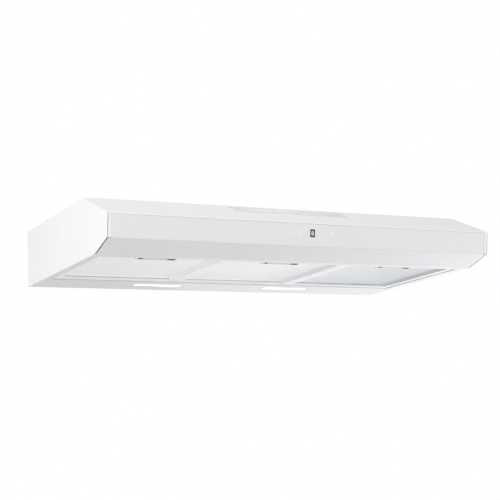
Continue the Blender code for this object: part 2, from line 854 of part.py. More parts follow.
def impeller(axis):
    """Wheel with a dished hub around the motor, leaning blades and a bottom ring."""
    sheet, bore = 1.5 * MM, SHAFT_R + GAP
    hub_top, cup_foot, cup_r = 107 * MM, 62 * MM, MOTOR_R + 4 * MM
    hub = [
        (WHEEL_R, hub_top),
        (WHEEL_R, hub_top - sheet),
        (cup_r + sheet, hub_top - sheet),
        (cup_r + sheet, cup_foot - sheet),
        (10 * MM, cup_foot - sheet),
        (10 * MM, 58 * MM),
        (bore, 58 * MM),
        (bore, cup_foot),
        (cup_r, cup_foot),
        (cup_r, hub_top),
    ]
    wheel = turned("impeller_wheel", hub, (WHEEL_X, WHEEL_Y), BLACK_PLASTIC, axis)
    low, high = 44.5 * MM, 46.5 * MM
    ring = [(WHEEL_R, high), (WHEEL_R, low), (WHEEL_R - 17 * MM, low), (WHEEL_R - 17 * MM, high)]
    join(wheel, turned("impeller_ring", ring, (WHEEL_X, WHEEL_Y), None, axis))

    def blades(bm):
        for i in range(BLADE_COUNT):
            blade = bmesh.ops.create_cube(bm, size=1.0)["verts"]
            bmesh.ops.scale(bm, vec=(14 * MM, 1.2 * MM, hub_top - low - 2 * MM), verts=blade)
            lean = Matrix.Rotation(math.radians(35), 3, "Z")
            bmesh.ops.rotate(bm, cent=(0, 0, 0), matrix=lean, verts=blade)
            bmesh.ops.translate(bm, vec=(WHEEL_R - 8.5 * MM, 0, 0), verts=blade)
            turn = Matrix.Rotation(2 * math.pi * i / BLADE_COUNT, 3, "Z")
            bmesh.ops.rotate(bm, cent=(0, 0, 0), matrix=turn, verts=blade)

    middle = (WHEEL_X, WHEEL_Y, (hub_top + low) / 2)
    return join(wheel, place("impeller_blades", mesh_from("impeller_blades", blades), middle, None, axis))


def motor_shaft(axis):
    low, high = 56 * MM, SCROLL_TOP_Z - 2 * MM
    middle = (WHEEL_X, WHEEL_Y, (low + high) / 2)
    return drum("motor_shaft", middle, SHAFT_R, high - low, STEEL, axis, steps=20)


# ---------------------------------------------------------------- duct


def outlet_box():
    """Sheet box between the scroll's mouth and the collar, open at the top."""
    wall = 1.2 * MM
    rear, front = -35 * MM, -215 * MM
    low = (-OUTLET_BOX_HALF, front, SCROLL_FLOOR_Z)
    high = (OUTLET_BOX_HALF, rear, RECESS_FLOOR_Z - SHEET - GAP)
    shell = block("outlet_box", low, high, ZINC)
    hollow = block(
        "outlet_box_hollow",
        (low[0] + wall, low[1] + wall, low[2] + wall),
        (high[0] - wall, high[1] - wall, high[2] + 10 * MM),
    )
    mouth = scroll_curve()
    window = block(
        "outlet_box_mouth",
        (low[0] - 5 * MM, mouth[0][1], SCROLL_FLOOR_Z + SCROLL_WALL),
        (low[0] + 5 * MM, mouth[-1][1], high[2] - 3 * MM),
    )
    return cut(shell, hollow, window)


def outlet_collar():
    """Round duct spigot with a flange in the roof's recess and a lip that the closed flaps lie on."""
    bore, wall_r, flange_r = DUCT_R - 1.5 * MM, DUCT_R, 92 * MM
    seat, foot, lip_top = RECESS_FLOOR_Z + GAP, 113.2 * MM, FLAP_Z - 0.8 * MM
    profile = [
        (wall_r, COLLAR_TOP),
        (wall_r, seat + FLANGE_SHEET),
        (flange_r, seat + FLANGE_SHEET),
        (flange_r, seat),
        (wall_r, seat),
        (wall_r, foot),
        (bore - 4.5 * MM, foot),
        (bore - 4.5 * MM, lip_top),
        (bore, lip_top),
        (bore, COLLAR_TOP),
    ]
    collar = turned("outlet_collar", profile, (0, DUCT_Y), GREY_PLASTIC, steps=48)
    rod_way = drum("flap_rod_way", (0, DUCT_Y, FLAP_Z), 2.3 * MM, 160 * MM, axis="Y", steps=16)
    holes = [
        drum(f"collar_hole_{i}", (x, y, seat), 2.2 * MM, 10 * MM, steps=12)
        for i, (x, y) in enumerate(collar_screw_places())
    ]
    return cut(collar, rod_way, *holes)


def flap_rod():
    return drum("flap_rod", (0, DUCT_Y, FLAP_Z), 2 * MM, 149 * MM, STEEL, axis="Y", steps=16)


def flap(name, side, axis):
    """Half disc with barrels around the rod; each flap's barrels stand between the other's."""
    start, count = 4.2 * MM, 24
    half_chord = math.sqrt(FLAP_R**2 - start**2)
    first = math.asin(half_chord / FLAP_R)
    arc = [(-first + 2 * first * i / count) for i in range(count + 1)]
    edge = [(side * FLAP_R * math.cos(a), DUCT_Y + FLAP_R * math.sin(a)) for a in arc]
    plate = outline(name, [edge], FLAP_Z - 0.5 * MM, FLAP_Z + 0.5 * MM, GREY_PLASTIC, axis)
    spans = {-1: ((-50, -26), (1, 25)), 1: ((-25, -1), (26, 50))}
    for number, (low, high) in enumerate(spans[side]):
        length = (high - low) * MM
        middle = (0, DUCT_Y + (low + high) / 2 * MM, FLAP_Z)
        barrel = drum(f"{name}_barrel_{number}", middle, 3.2 * MM, length, None, axis, "Y", 20)
        arm = block(
            f"{name}_arm_{number}",
            (min(0, side * 8 * MM), middle[1] - length / 2, FLAP_Z - 0.5 * MM),
            (max(0, side * 8 * MM), middle[1] + length / 2, FLAP_Z + 0.5 * MM),
            parent=axis,
        )
        join(plate, barrel, arm)
    bore = drum(f"{name}_bore", (0, DUCT_Y, FLAP_Z), 2.3 * MM, 160 * MM, None, axis, "Y", 16)
    return cut(plate, bore)


def collar_screws():
    """Pan-head screws that hold the collar's flange to the recess's floor."""
    seat = RECESS_FLOOR_Z + FLANGE_SHEET + 2 * GAP
    profile = [
        (0, seat + 2.2 * MM),
        (2.6 * MM, seat + 1.8 * MM),
        (3.6 * MM, seat + 0.8 * MM),
        (3.6 * MM, seat),
        (1.8 * MM, seat),
        (1.8 * MM, seat - 6 * MM),
        (0, seat - 7 * MM),
    ]
    for i, at in enumerate(collar_screw_places()):
        turned(f"collar_screw_{i + 1}", profile, at, STEEL, steps=12)


# ---------------------------------------------------------------- filters


def filter_centres():
    return [(i - 1) * FILTER_PITCH for i in range(3)]


def lug_places(centres):
    """x of the rear lugs, two to a filter."""
    return [x + side * LUG_REACH for x in centres for side in (-1, 1)]


def filter_frame(side, x, hinge):
    """Aluminium channel bent round the filter, open inwards, with two rear lugs and a gap for the catch."""
    outer_low = (x - FILTER_HALF, FILTER_FRONT, FILTER_FOOT)
    outer_high = (x + FILTER_HALF, FILTER_REAR, FILTER_FOOT + RAIL_HEIGHT)
    frame = block(f"filter_frame_{side}", outer_low, outer_high, ALUMINIUM, hinge)
    sheet = 1.0 * MM
    low, high = Vector(outer_low), Vector(outer_high)
    inset = Vector((sheet, sheet, sheet))
    channel = block(f"frame_channel_{side}", low + inset, high - inset, parent=hinge)
    rail = Vector((RAIL_WIDTH, RAIL_WIDTH, 0))
    lip = Vector((6 * MM, 6 * MM, 0))
    below = block(
        f"frame_face_hole_{side}",
        low + rail - Vector((0, 0, 5 * MM)),
        Vector((high.x, high.y, low.z + 3 * MM)) - rail,
        parent=hinge,
    )
    above = block(
        f"frame_top_hole_{side}",
        Vector((low.x, low.y, high.z - 3 * MM)) + lip,
        high - lip + Vector((0, 0, 5 * MM)),
        parent=hinge,
    )
    latch_gap = block(
        f"frame_latch_gap_{side}",
        (x + LATCH_SHIFT - LATCH_HALF - GAP, FILTER_FRONT + sheet - 0.1 * MM, 0),
        (x + LATCH_SHIFT + LATCH_HALF + GAP, LATCH_REAR + GAP, 30 * MM),
        parent=hinge,
    )
    catch_way = block(
        f"frame_catch_way_{side}",
        (x - CATCH_WAY_HALF, FILTER_FRONT - 2 * MM, CATCH_WAY_Z[0]),
        (x + CATCH_WAY_HALF, FILTER_FRONT + 3 * MM, CATCH_WAY_Z[1]),
        parent=hinge,
    )
    cut(frame, channel, below, above, latch_gap, catch_way)
    size_x, reach, thick = LUG_SIZE
    for number, lug_x in enumerate(lug_places([x])):
        lug = block(
            f"frame_lug_{side}_{number}",
            (lug_x - size_x / 2, FILTER_REAR - 0.5 * MM, FILTER_FOOT + 0.6 * MM),
            (lug_x + size_x / 2, FILTER_REAR + reach, FILTER_FOOT + 0.6 * MM + thick),
            parent=hinge,
        )
        join(frame, lug)
    return frame


def filter_face(side, x, hinge):
    """Sheet tray seen from below: a flat face recessed in the frame, with leaning inner walls and a rim."""
    rim_x, rim_y = FILTER_HALF - 1.5 * MM, (FILTER_REAR - FILTER_FRONT) / 2 - 1.5 * MM
    middle = Vector((x, (FILTER_FRONT + FILTER_REAR) / 2))
    rim_z = FILTER_FOOT + 1 * MM + GAP
    wall_foot, wall_top = RAIL_WIDTH + 0.4 * MM, RAIL_WIDTH + 3 * MM

    def build(bm):
        loops = []
        steps = (
            (rim_x, rim_y, rim_z),
            (FILTER_HALF - wall_foot, rim_y + 1.5 * MM - wall_foot, rim_z),
            (FILTER_HALF - wall_top, rim_y + 1.5 * MM - wall_top, FACE_Z),
        )
        for half_x, half_y, z in steps:
            corners = ((-1, -1), (1, -1), (1, 1), (-1, 1))
            loops.append(
                [bm.verts.new((middle.x + a * half_x, middle.y + b * half_y, z)) for a, b in corners]
            )
        for lower, upper in zip(loops, loops[1:]):
            for i in range(4):
                j = (i + 1) % 4
                bm.faces.new((lower[i], lower[j], upper[j], upper[i]))
        bm.faces.new(loops[-1])

    sheet = mesh_from(f"filter_face_{side}", build, closed=False)
    tray = place(f"filter_face_{side}", sheet, (0, 0, 0), MESH_METAL, hinge)
    thicken(tray, FACE_SHEET, inwards=False)
    latch_gap = block(
        f"face_latch_gap_{side}",
        (x + LATCH_SHIFT - LATCH_HALF - GAP, FILTER_FRONT - 5 * MM, 0),
        (x + LATCH_SHIFT + LATCH_HALF + GAP, LATCH_REAR + GAP, LATCH_TOP + 0.1 * MM),
        parent=hinge,
    )
    return cut(tray, latch_gap)


def filter_mesh(side, x, hinge):
    """Pack of expanded-metal layers that lies in the tray's back."""
    inset = RAIL_WIDTH + 4 * MM
    return block(
        f"filter_mesh_{side}",
        (x - FILTER_HALF + inset, FILTER_FRONT + inset, FACE_Z + FACE_SHEET + GAP),
        (x + FILTER_HALF - inset, FILTER_REAR - inset, MESH_TOP),
        MESH_METAL,
        hinge,
        bevel=1 * MM,
    )


def latch_plate(side, x, hinge):
    """Latch body at the filter's front: a plate with a long finger pocket and a way for the catch."""
    middle = x + LATCH_SHIFT
    plate = block(
        f"latch_plate_{side}",
        (middle - LATCH_HALF, FILTER_FRONT + 1.3 * MM, FILTER_FOOT),
        (middle + LATCH_HALF, LATCH_REAR, LATCH_TOP),
        GREY_PLASTIC,
        hinge,
    )
    pocket = block(
        f"latch_pocket_{side}",
        (middle - POCKET_HALF, POCKET_FRONT, FILTER_FOOT - 5 * MM),
        (middle + POCKET_HALF, POCKET_REAR, POCKET_ROOF),
        parent=hinge,
    )
    catch_way = block(
        f"latch_catch_way_{side}",
        (x - CATCH_WAY_HALF, FILTER_FRONT - 2 * MM, CATCH_WAY_Z[0]),
        (x + CATCH_WAY_HALF, POCKET_FRONT + 3 * MM, CATCH_WAY_Z[1]),
        parent=hinge,
    )
    return cut(plate, pocket, catch_way)


def latch_catch(side, x, slide):
    """Sliding catch: a thumb block, deeper at its left end, with a tongue towards the front wall."""
    middle = x + LATCH_SHIFT
    left, step, right = middle - 30.5 * MM, middle - 7 * MM, middle + 25.5 * MM
    front, step_rear, rear = POCKET_FRONT + 0.4 * MM, -383.5 * MM, -378.5 * MM
    foot, top = FILTER_FOOT - 0.3 * MM, POCKET_ROOF - 0.4 * MM
    catch = outline(
        f"latch_catch_{side}",
        [[(left, front), (right, front), (right, step_rear), (step, step_rear), (step, rear), (left, rear)]],
        foot,
        top,
        GREY_PLASTIC,
        slide,
    )
    tongue = block(
        f"latch_tongue_{side}",
        (x - 6.5 * MM, OPENING_FRONT + 0.4 * MM, CATCH_WAY_Z[0] + 0.5 * MM),
        (x + 6.5 * MM, front + 2 * MM, CATCH_WAY_Z[1] - 0.5 * MM),
        parent=slide,
    )
    return join(catch, tongue)


def latch_spring(side, x, hinge):
    """Small coil between the catch and the pocket's rear wall."""
    wire, radius, turns, per_turn = 0.3 * MM, 2.2 * MM, 4, 7
    x += LATCH_SHIFT - 19 * MM
    start, end, z = -378.15 * MM, POCKET_REAR - 0.35 * MM, SPRING_Z
    count = turns * per_turn
    points = []
    for i in range(count + 1):
        angle = 2 * math.pi * i / per_turn
        y = start + (end - start) * i / count
        points.append((x + radius * math.cos(angle), y, z + radius * math.sin(angle)))
    return tube(f"latch_spring_{side}", points, wire, STEEL, hinge)


def filters():
    for side, x in zip(("left", "middle", "right"), filter_centres()):
        hinge = empty(f"filter_hinge_{side}", (x, FILTER_REAR, FILTER_FOOT), HOOD)
        slide = empty(f"catch_slide_{side}", (x, POCKET_FRONT, SPRING_Z), hinge)
        filter_frame(side, x, hinge)
        filter_face(side, x, hinge)
        filter_mesh(side, x, hinge)
        latch_plate(side, x, hinge)
        latch_catch(side, x, slide)
        latch_spring(side, x, hinge)


# ---------------------------------------------------------------- leads


def leads():
    """Internal leads, each leaving its device squarely and ending square to the control box."""
    radius, clear, stub = 2 * MM, 1 * MM, 8 * MM
    box_left, box_front, box_rear = BOX_LOW[0] - clear, BOX_LOW[1] - clear, BOX_HIGH[1] + clear
    lamp_top = 14 * MM + clear
    motor = [
        scroll_side(math.radians(-50), clear, 100 * MM),
        scroll_side(math.radians(-50), 18 * MM, 101 * MM),
        (-90 * MM, -318 * MM, 104 * MM),
        (-30 * MM, -330 * MM, 108 * MM),
        (60 * MM, -318 * MM, 108 * MM),
        (100 * MM, -262 * MM, 106 * MM),
        (108 * MM, -215 * MM, 102 * MM),
        (box_left - stub, -200 * MM, 100 * MM),
        (box_left, -200 * MM, 100 * MM),
    ]
    display = [
        (0, -476 * MM, 48 * MM),
        (0, -476 * MM + stub, 48 * MM),
        (12 * MM, -455 * MM, 52 * MM),
        (60 * MM, -420 * MM, 70 * MM),
        (130 * MM, -350 * MM, 84 * MM),
        (180 * MM, -270 * MM, 92 * MM),
        (190 * MM, box_front - stub, 92 * MM),
        (190 * MM, box_front, 92 * MM),
    ]
    right = [
        (LAMP_X, LAMP_Y, lamp_top),
        (LAMP_X, LAMP_Y, lamp_top + stub),
        (LAMP_X + 8 * MM, -52 * MM, 60 * MM),
        (LAMP_X + 18 * MM, -50 * MM, 86 * MM),
        (LAMP_X + 20 * MM, box_rear + stub, 92 * MM),
        (LAMP_X + 20 * MM, box_rear, 92 * MM),
    ]
    left = [
        (-LAMP_X, LAMP_Y, lamp_top),
        (-LAMP_X, LAMP_Y, lamp_top + 5 * MM),
        (-LAMP_X + 8 * MM, -44 * MM, 28 * MM),
        (-LAMP_X + 30 * MM, -20 * MM, 29 * MM),
        (-60 * MM, -16 * MM, 30 * MM),
        (60 * MM, -16 * MM, 34 * MM),
        (118 * MM, -24 * MM, 60 * MM),
        (140 * MM, -50 * MM, 88 * MM),
        (144 * MM, box_rear + stub, 96 * MM),
        (144 * MM, box_rear, 96 * MM),
    ]
    routes = {"motor_lead": motor, "display_lead": display, "lamp_lead_right": right, "lamp_lead_left": left}
    for name, points in routes.items():
        tube(name, smooth_route(points, 3), radius, CABLE)


# ---------------------------------------------------------------- assembly

side_panel("side_panel_left", -1)
side_panel("side_panel_right", 1)
back_panel()
top_panel()
front_canopy()
front_glass()
bottom_frame()
cross_rail("cross_rail_left", -FILTER_PITCH / 2)
cross_rail("cross_rail_right", FILTER_PITCH / 2)
display_module()
touch_board()
control_box()
control_box_lid()
power_board()
board_parts()
cable_gland()
lamp("left", -LAMP_X)
lamp("right", LAMP_X)
blower_scroll()
blower_cover()
inlet_grille()
motor_body()
WHEEL_AXIS = empty("impeller_axis", (WHEEL_X, WHEEL_Y, 0), HOOD)
impeller(WHEEL_AXIS)
motor_shaft(WHEEL_AXIS)
outlet_box()
outlet_collar()
flap_rod()
FLAP_AXIS = empty("flap_axis", (0, DUCT_Y, FLAP_Z), HOOD)
flap("flap_left", -1, FLAP_AXIS)
flap("flap_right", 1, FLAP_AXIS)
collar_screws()
filters()
leads()
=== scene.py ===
"""Fine pieces, materials, light and camera round the CAD model of a white under-cabinet range hood."""

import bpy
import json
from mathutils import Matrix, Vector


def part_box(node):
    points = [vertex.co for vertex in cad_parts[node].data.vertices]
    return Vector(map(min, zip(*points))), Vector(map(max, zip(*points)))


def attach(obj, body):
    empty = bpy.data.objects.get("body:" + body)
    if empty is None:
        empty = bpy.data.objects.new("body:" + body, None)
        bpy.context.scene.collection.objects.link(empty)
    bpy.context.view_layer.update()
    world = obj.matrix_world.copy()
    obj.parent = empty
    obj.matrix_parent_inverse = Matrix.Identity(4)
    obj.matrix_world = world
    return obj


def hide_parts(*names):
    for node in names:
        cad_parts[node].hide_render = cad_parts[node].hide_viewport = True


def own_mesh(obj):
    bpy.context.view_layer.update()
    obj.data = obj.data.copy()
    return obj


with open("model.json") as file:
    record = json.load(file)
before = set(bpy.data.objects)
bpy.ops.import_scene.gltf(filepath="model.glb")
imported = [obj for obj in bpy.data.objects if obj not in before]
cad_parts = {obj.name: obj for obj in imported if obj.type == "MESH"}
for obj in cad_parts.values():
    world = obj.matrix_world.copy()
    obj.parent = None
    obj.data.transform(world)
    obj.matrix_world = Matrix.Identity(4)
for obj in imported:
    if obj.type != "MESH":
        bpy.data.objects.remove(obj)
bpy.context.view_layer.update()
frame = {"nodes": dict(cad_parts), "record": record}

import json
import math

import bmesh
import bpy
from mathutils import Matrix, Vector

MM = 0.001
NODES = frame["nodes"]
SIDES = ("left", "middle", "right")


def middle(node):
    low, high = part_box(node)
    return (low + high) / 2


# ---------------------------------------------------------------- camera

CAMERA_AT = (-1.32635, -2.74389, -0.50395)
CAMERA_AXES = (
    (0.8886217, -0.45605429, -0.04864108),
    (-0.03679105, -0.1765941, 0.98359592),
    (-0.45716287, -0.87225513, -0.17370407),
)
LENS_MM = 92.77


def add_camera():
    """Camera at the viewing angle of the photo."""
    data = bpy.data.cameras.new("camera")
    data.lens, data.sensor_width = LENS_MM, 36
    data.clip_start, data.clip_end = 0.05, 60
    camera = bpy.data.objects.new("camera", data)
    turn = Matrix(CAMERA_AXES).transposed().to_4x4()
    camera.matrix_world = Matrix.Translation(CAMERA_AT) @ turn
    bpy.context.scene.collection.objects.link(camera)
    bpy.context.scene.camera = camera


# ---------------------------------------------------------------- materials

# The Mix node's sockets for colours; their names are shared with its other data types.
MIX_FACTOR, MIX_COLOUR_A, MIX_COLOUR_B, MIX_COLOUR_OUT = 0, 6, 7, 2


class Look:
    """A Principled material whose colour, roughness and relief come from a few procedural patterns."""

    def __init__(self, name, colour, roughness, metallic=0.0, **sockets):
        self.material = bpy.data.materials.new(name)
        self.material.use_nodes = True
        self.tree = self.material.node_tree
        self.shader = self.tree.nodes["Principled BSDF"]
        self.colour = colour
        self.set("Base Color", (*colour, 1.0))
        self.set("Roughness", roughness)
        self.set("Metallic", metallic)
        for socket, value in sockets.items():
            self.set(socket.replace("_", " "), value)
        self.place = self.tree.nodes.new("ShaderNodeTexCoord").outputs["Object"]

    def set(self, socket, value):
        self.shader.inputs[socket].default_value = value

    def node(self, kind, inputs, **settings):
        made = self.tree.nodes.new(kind)
        for key, value in settings.items():
            setattr(made, key, value)
        for key, value in inputs.items():
            if isinstance(value, bpy.types.NodeSocket):
                self.tree.links.new(value, made.inputs[key])
            else:
                made.inputs[key].default_value = value
        return made

    def stretched(self, stretch):
        return self.node("ShaderNodeMapping", {"Vector": self.place, "Scale": stretch}).outputs[0]

    def noise(self, scale, detail=2.0, stretch=(1, 1, 1)):
        inputs = {"Vector": self.stretched(stretch), "Scale": scale, "Detail": detail}
        return self.node("ShaderNodeTexNoise", inputs).outputs[0]

    def cells(self, scale, output="Color", stretch=(1, 1, 1), **settings):
        inputs = {"Vector": self.stretched(stretch), "Scale": scale}
        return self.node("ShaderNodeTexVoronoi", inputs, **settings).outputs[output]

    def spread(self, value, low, high, start=0.3, end=0.7):
        inputs = {"Value": value, "From Min": start, "From Max": end, "To Min": low, "To Max": high}
        return self.node("ShaderNodeMapRange", inputs).outputs[0]

    def tint(self, value, other, share=1.0, start=0.35, end=0.65):
        """Mixes the base colour towards another one where the pattern is high."""
        factor = self.spread(value, 0.0, share, start, end)
        inputs = {MIX_FACTOR: factor, MIX_COLOUR_A: (*self.colour, 1.0), MIX_COLOUR_B: (*other, 1.0)}
        mix = self.node("ShaderNodeMix", inputs, data_type="RGBA")
        self.tree.links.new(mix.outputs[MIX_COLOUR_OUT], self.shader.inputs["Base Color"])
        return self

    def roughen(self, value, low, high):
        self.tree.links.new(self.spread(value, low, high), self.shader.inputs["Roughness"])
        return self

    def bump(self, value, depth, strength=1.0):
        inputs = {"Height": value, "Distance": depth, "Strength": strength}
        before = self.shader.inputs["Normal"]
        if before.is_linked:
            inputs["Normal"] = before.links[0].from_socket
        relief = self.node("ShaderNodeBump", inputs).outputs[0]
        self.tree.links.new(relief, before)
        return self


def paint(name, colour, shade):
    """Satin powder coat: fine orange peel, and a slow drift in tone and gloss."""
    look = Look(name, colour, 0.38, Coat_Weight=0.25, Coat_Roughness=0.18)
    slow = look.noise(7, 3)
    look.tint(slow, shade, 0.5).roughen(look.noise(160, 3), 0.33, 0.43)
    return look.bump(look.noise(620, 2), 0.02 * MM).bump(look.noise(2400, 1), 0.004 * MM)


def brushed(name, colour, roughness, stretch, metallic=1.0):
    """Metal with fine lines along one axis."""
    look = Look(name, colour, roughness, metallic)
    lines = look.noise(900, 3, stretch)
    dark = tuple(c * 0.88 for c in colour)
    look.tint(lines, dark, 0.6).roughen(lines, roughness - 0.06, roughness + 0.08)
    return look.bump(lines, 0.006 * MM)


def plastic(name, colour, roughness):
    """Moulded plastic with a fine spark-eroded grain."""
    look = Look(name, colour, roughness)
    lighter = tuple(min(1.0, c * 1.12 + 0.004) for c in colour)
    look.tint(look.noise(18, 3), lighter, 0.6)
    look.roughen(look.noise(300, 2), roughness - 0.05, roughness + 0.07)
    return look.bump(look.cells(1700, "Distance"), 0.02 * MM)


def zinc(name, colour):
    """Galvanised sheet: flat spangles that differ in tone and gloss, with rolling lines over them."""
    look = Look(name, colour, 0.42, 0.9)
    spangle = look.node("ShaderNodeSeparateColor", {"Color": look.cells(85)}).outputs[0]
    look.tint(spangle, tuple(c * 0.8 for c in colour), 0.55, 0.0, 1.0)
    look.roughen(spangle, 0.36, 0.52)
    return look.bump(look.noise(500, 2, (0.08, 1, 1)), 0.008 * MM)


def glass(name, colour, roughness):
    """Float glass painted behind: a glossy coat with the faintest waviness."""
    look = Look(name, colour, roughness, IOR=1.52, Coat_Weight=0.6, Coat_Roughness=0.03)
    slow = look.noise(9, 3)
    look.tint(slow, tuple(c * 0.985 for c in colour), 1.0)
    look.roughen(look.noise(30, 3), roughness, roughness + 0.04)
    return look.bump(look.noise(14, 1), 0.015 * MM)


def circuit_board(name):
    """Green solder mask over raised tracks."""
    look = Look(name, (0.02, 0.17, 0.07), 0.42, Coat_Weight=0.4)
    tracks = look.cells(260, "Distance", distance="MANHATTAN")
    look.tint(tracks, (0.05, 0.33, 0.14), 0.8, 0.25, 0.3)
    return look.roughen(look.noise(90, 2), 0.35, 0.5).bump(tracks, 0.03 * MM)


def glowing(name, colour, strength):
    """Frosted face that gives off an even light of its own colour."""
    look = Look(name, colour, 0.35)
    look.tint(look.noise(40, 2), tuple(c * 0.96 for c in colour), 1.0)
    look.set("Emission Color", (*colour, 1.0))
    look.set("Emission Strength", strength)
    return look.roughen(look.noise(200, 2), 0.3, 0.42).bump(look.noise(700, 1), 0.02 * MM)


def perforated_metal(name):
    """Satin sheet whose tone darkens slowly towards +X across the row of filters: painted shade, broken
    up by a random mottle.
    """
    look = Look(name, (0.94, 0.95, 0.96), 0.5, 0.1)
    across = look.node("ShaderNodeSeparateXYZ", {"Vector": look.place}).outputs["X"]
    mottle_m = 0.12  # how far the random mottle shifts the painted shade ramp, in metres along X
    mottled_shade_ramp = {0: look.noise(14, 3), 1: mottle_m, 2: across}
    painted_shade_ramp = look.node("ShaderNodeMath", mottled_shade_ramp, operation="MULTIPLY_ADD").outputs[0]
    shade_ramp_from, shade_ramp_to = 0.06, 0.46
    # darker tone towards +X: painted shade on the right-hand filter
    look.tint(painted_shade_ramp, (0.63, 0.65, 0.675), 1.0, shade_ramp_from, shade_ramp_to)
    look.roughen(look.noise(350, 3, (0.15, 1, 1)), 0.40, 0.54)
    return look.bump(look.noise(800, 2), 0.012 * MM)


LOOKS = {
    "white_paint": paint("satin_white_paint", (0.86, 0.865, 0.87), (0.835, 0.842, 0.85)),
    # Greyer copy of the white paint for the underside: its extra darkness is painted shade.
    "pale_paint": paint("satin_underside_paint_painted_shade", (0.70, 0.702, 0.71), (0.675, 0.679, 0.689)),
    "white_glass": glass("white_glass", (0.80, 0.805, 0.81), 0.05),
    "dark_glass": glass("dark_display_glass", (0.015, 0.015, 0.018), 0.06),
    "zinc_sheet": zinc("galvanised_sheet", (0.62, 0.63, 0.645)),
    "steel": brushed("plated_steel", (0.60, 0.60, 0.61), 0.28, (1, 1, 0.05)),
    "aluminium": brushed("satin_aluminium", (0.97, 0.975, 0.98), 0.42, (0.04, 0.04, 1), 0.1),
    "filter_metal": perforated_metal("perforated_aluminium"),
    "latch_plastic": plastic("latch_plastic", (0.72, 0.735, 0.75), 0.36),
    "grey_plastic": plastic("grey_plastic", (0.42, 0.43, 0.445), 0.45),
    "black_plastic": plastic("black_plastic", (0.025, 0.025, 0.027), 0.42),
    "circuit_board": circuit_board("circuit_board"),
    "lamp_lens": glowing("frosted_lamp_lens", (0.97, 0.97, 0.96), 0.75),
    "cable_grey": plastic("cable_sheath", (0.25, 0.26, 0.275), 0.5),
}
DIGIT_GLOW = glowing("display_digit", (0.85, 0.92, 1.0), 0.9)
# Near-black lining that stands in for the shade inside the ends of the latch pocket: painted shade.
POCKET_SHADE_LINING = plastic("painted_shade_pocket_lining", (0.06, 0.061, 0.065), 0.5)
# The touch symbols are print, yet give off a faint light of their own: a painted brightening.
GLOWING_ICON_PRINT = glowing("touch_symbol", (0.93, 0.935, 0.94), 0.02)


# ---------------------------------------------------------------- building pieces


def piece(name, mesh, body, slot=None, look=None, replaces=()):
    """Adds a mesh in the row frame, riding on a CAD body."""
    made = bpy.data.objects.new(name, mesh)
    bpy.context.scene.collection.objects.link(made)
    mesh.materials.append((look or LOOKS[slot]).material)
    if replaces:
        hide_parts(*replaces)
    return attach(made, body)


def mesh_of(name, build):
    bm = bmesh.new()
    build(bm)
    bmesh.ops.recalc_face_normals(bm, faces=bm.faces)
    mesh = bpy.data.meshes.new(name)
    bm.to_mesh(mesh)
    bm.free()
    return mesh


def add_prism(bm, ends):
    """Joins two matching loops of points into a closed prism."""
    loops = [[bm.verts.new(point) for point in end] for end in ends]
    count = len(loops[0])
    for i in range(count):
        j = (i + 1) % count
        bm.faces.new((loops[0][i], loops[0][j], loops[1][j], loops[1][i]))
    for loop in loops:
        bm.faces.new(loop)


def smooth(made, angle=35):
    made.data.shade_smooth()
    made.data.set_sharp_from_angle(angle=math.radians(angle))


def bevel(made, width):
    step = made.modifiers.new("edges", "BEVEL")
    step.width, step.segments, step.angle_limit = width, 2, math.radians(35)
    step.harden_normals = True
    smooth(made, 60)


def add_block(bm, low, high, turn=None):
    """Adds a box, turned about its own upright axis."""
    low, high = Vector(low), Vector(high)
    verts = bmesh.ops.create_cube(bm, size=1.0)["verts"]
    bmesh.ops.scale(bm, vec=high - low, verts=verts)
    if turn:
        bmesh.ops.rotate(bm, cent=(0, 0, 0), matrix=Matrix.Rotation(turn, 3, "Z"), verts=verts)
    bmesh.ops.translate(bm, vec=(low + high) / 2, verts=verts)


def add_ring(bm, profile, centre, steps):
    """Turns a closed profile of (radius, height) corners about the upright axis through 'centre'."""
    rows = []
    for i in range(steps):
        angle = 2 * math.pi * i / steps
        row = []
        for radius, height in profile:
            x, y = radius * math.cos(angle), radius * math.sin(angle)
            row.append(bm.verts.new((x + centre[0], y + centre[1], height + centre[2])))
        rows.append(row)
    count = len(profile)
    for i in range(steps):
        here, there = rows[i], rows[(i + 1) % steps]
        for j in range(count):
            k = (j + 1) % count
            bm.faces.new((here[j], here[k], there[k], there[j]))
    bmesh.ops.remove_doubles(bm, verts=bm.verts, dist=1e-6)


def rounded_profile(corners, radius, steps=3):
    """A closed profile with each corner replaced by a small arc."""
    made = []
    count = len(corners)
    for i in range(count):
        before, at, after = (Vector(corners[j % count]) for j in (i - 1, i, i + 1))
        to_before, to_after = before - at, after - at
        reach = min(radius, to_before.length * 0.45, to_after.length * 0.45)
        start, end = at + to_before.normalized() * reach, at + to_after.normalized() * reach
        for s in range(steps + 1):
            t = s / steps
            made.append(tuple(start * (1 - t) ** 2 + at * 2 * t * (1 - t) + end * t * t))
    return made


# ---------------------------------------------------------------- carried-over CAD nodes


EDGE_RADII_MM = {"white_paint": 0.35, "pale_paint": 0.3, "aluminium": 0.3, "latch_plastic": 0.5}


def finish_cad_nodes():
    """Gives every CAD node its look, welded and softened edges, and smooth round faces."""
    slot_of = {row["node"]: row["material_slot"] for row in frame["record"]["subparts"]}
    for name, node in NODES.items():
        slot = slot_of[name]
        node.data.materials.clear()
        node.data.materials.append(LOOKS[slot].material)
        custom = node.data.attributes.get("custom_normal")
        if custom:
            node.data.attributes.remove(custom)
        weld = node.modifiers.new("weld", "WELD")
        weld.merge_threshold = 1e-6
        if slot in EDGE_RADII_MM:
            bevel(node, EDGE_RADII_MM[slot] * MM)
        else:
            smooth(node)


# ---------------------------------------------------------------- filters

HOLE_PITCH = 5 * MM
ROW_PITCH = 4.33 * MM
HOLE_R = 0.95 * MM
PLAIN_EDGE = 2.2 * MM
TRAY_SHEET = 0.6 * MM
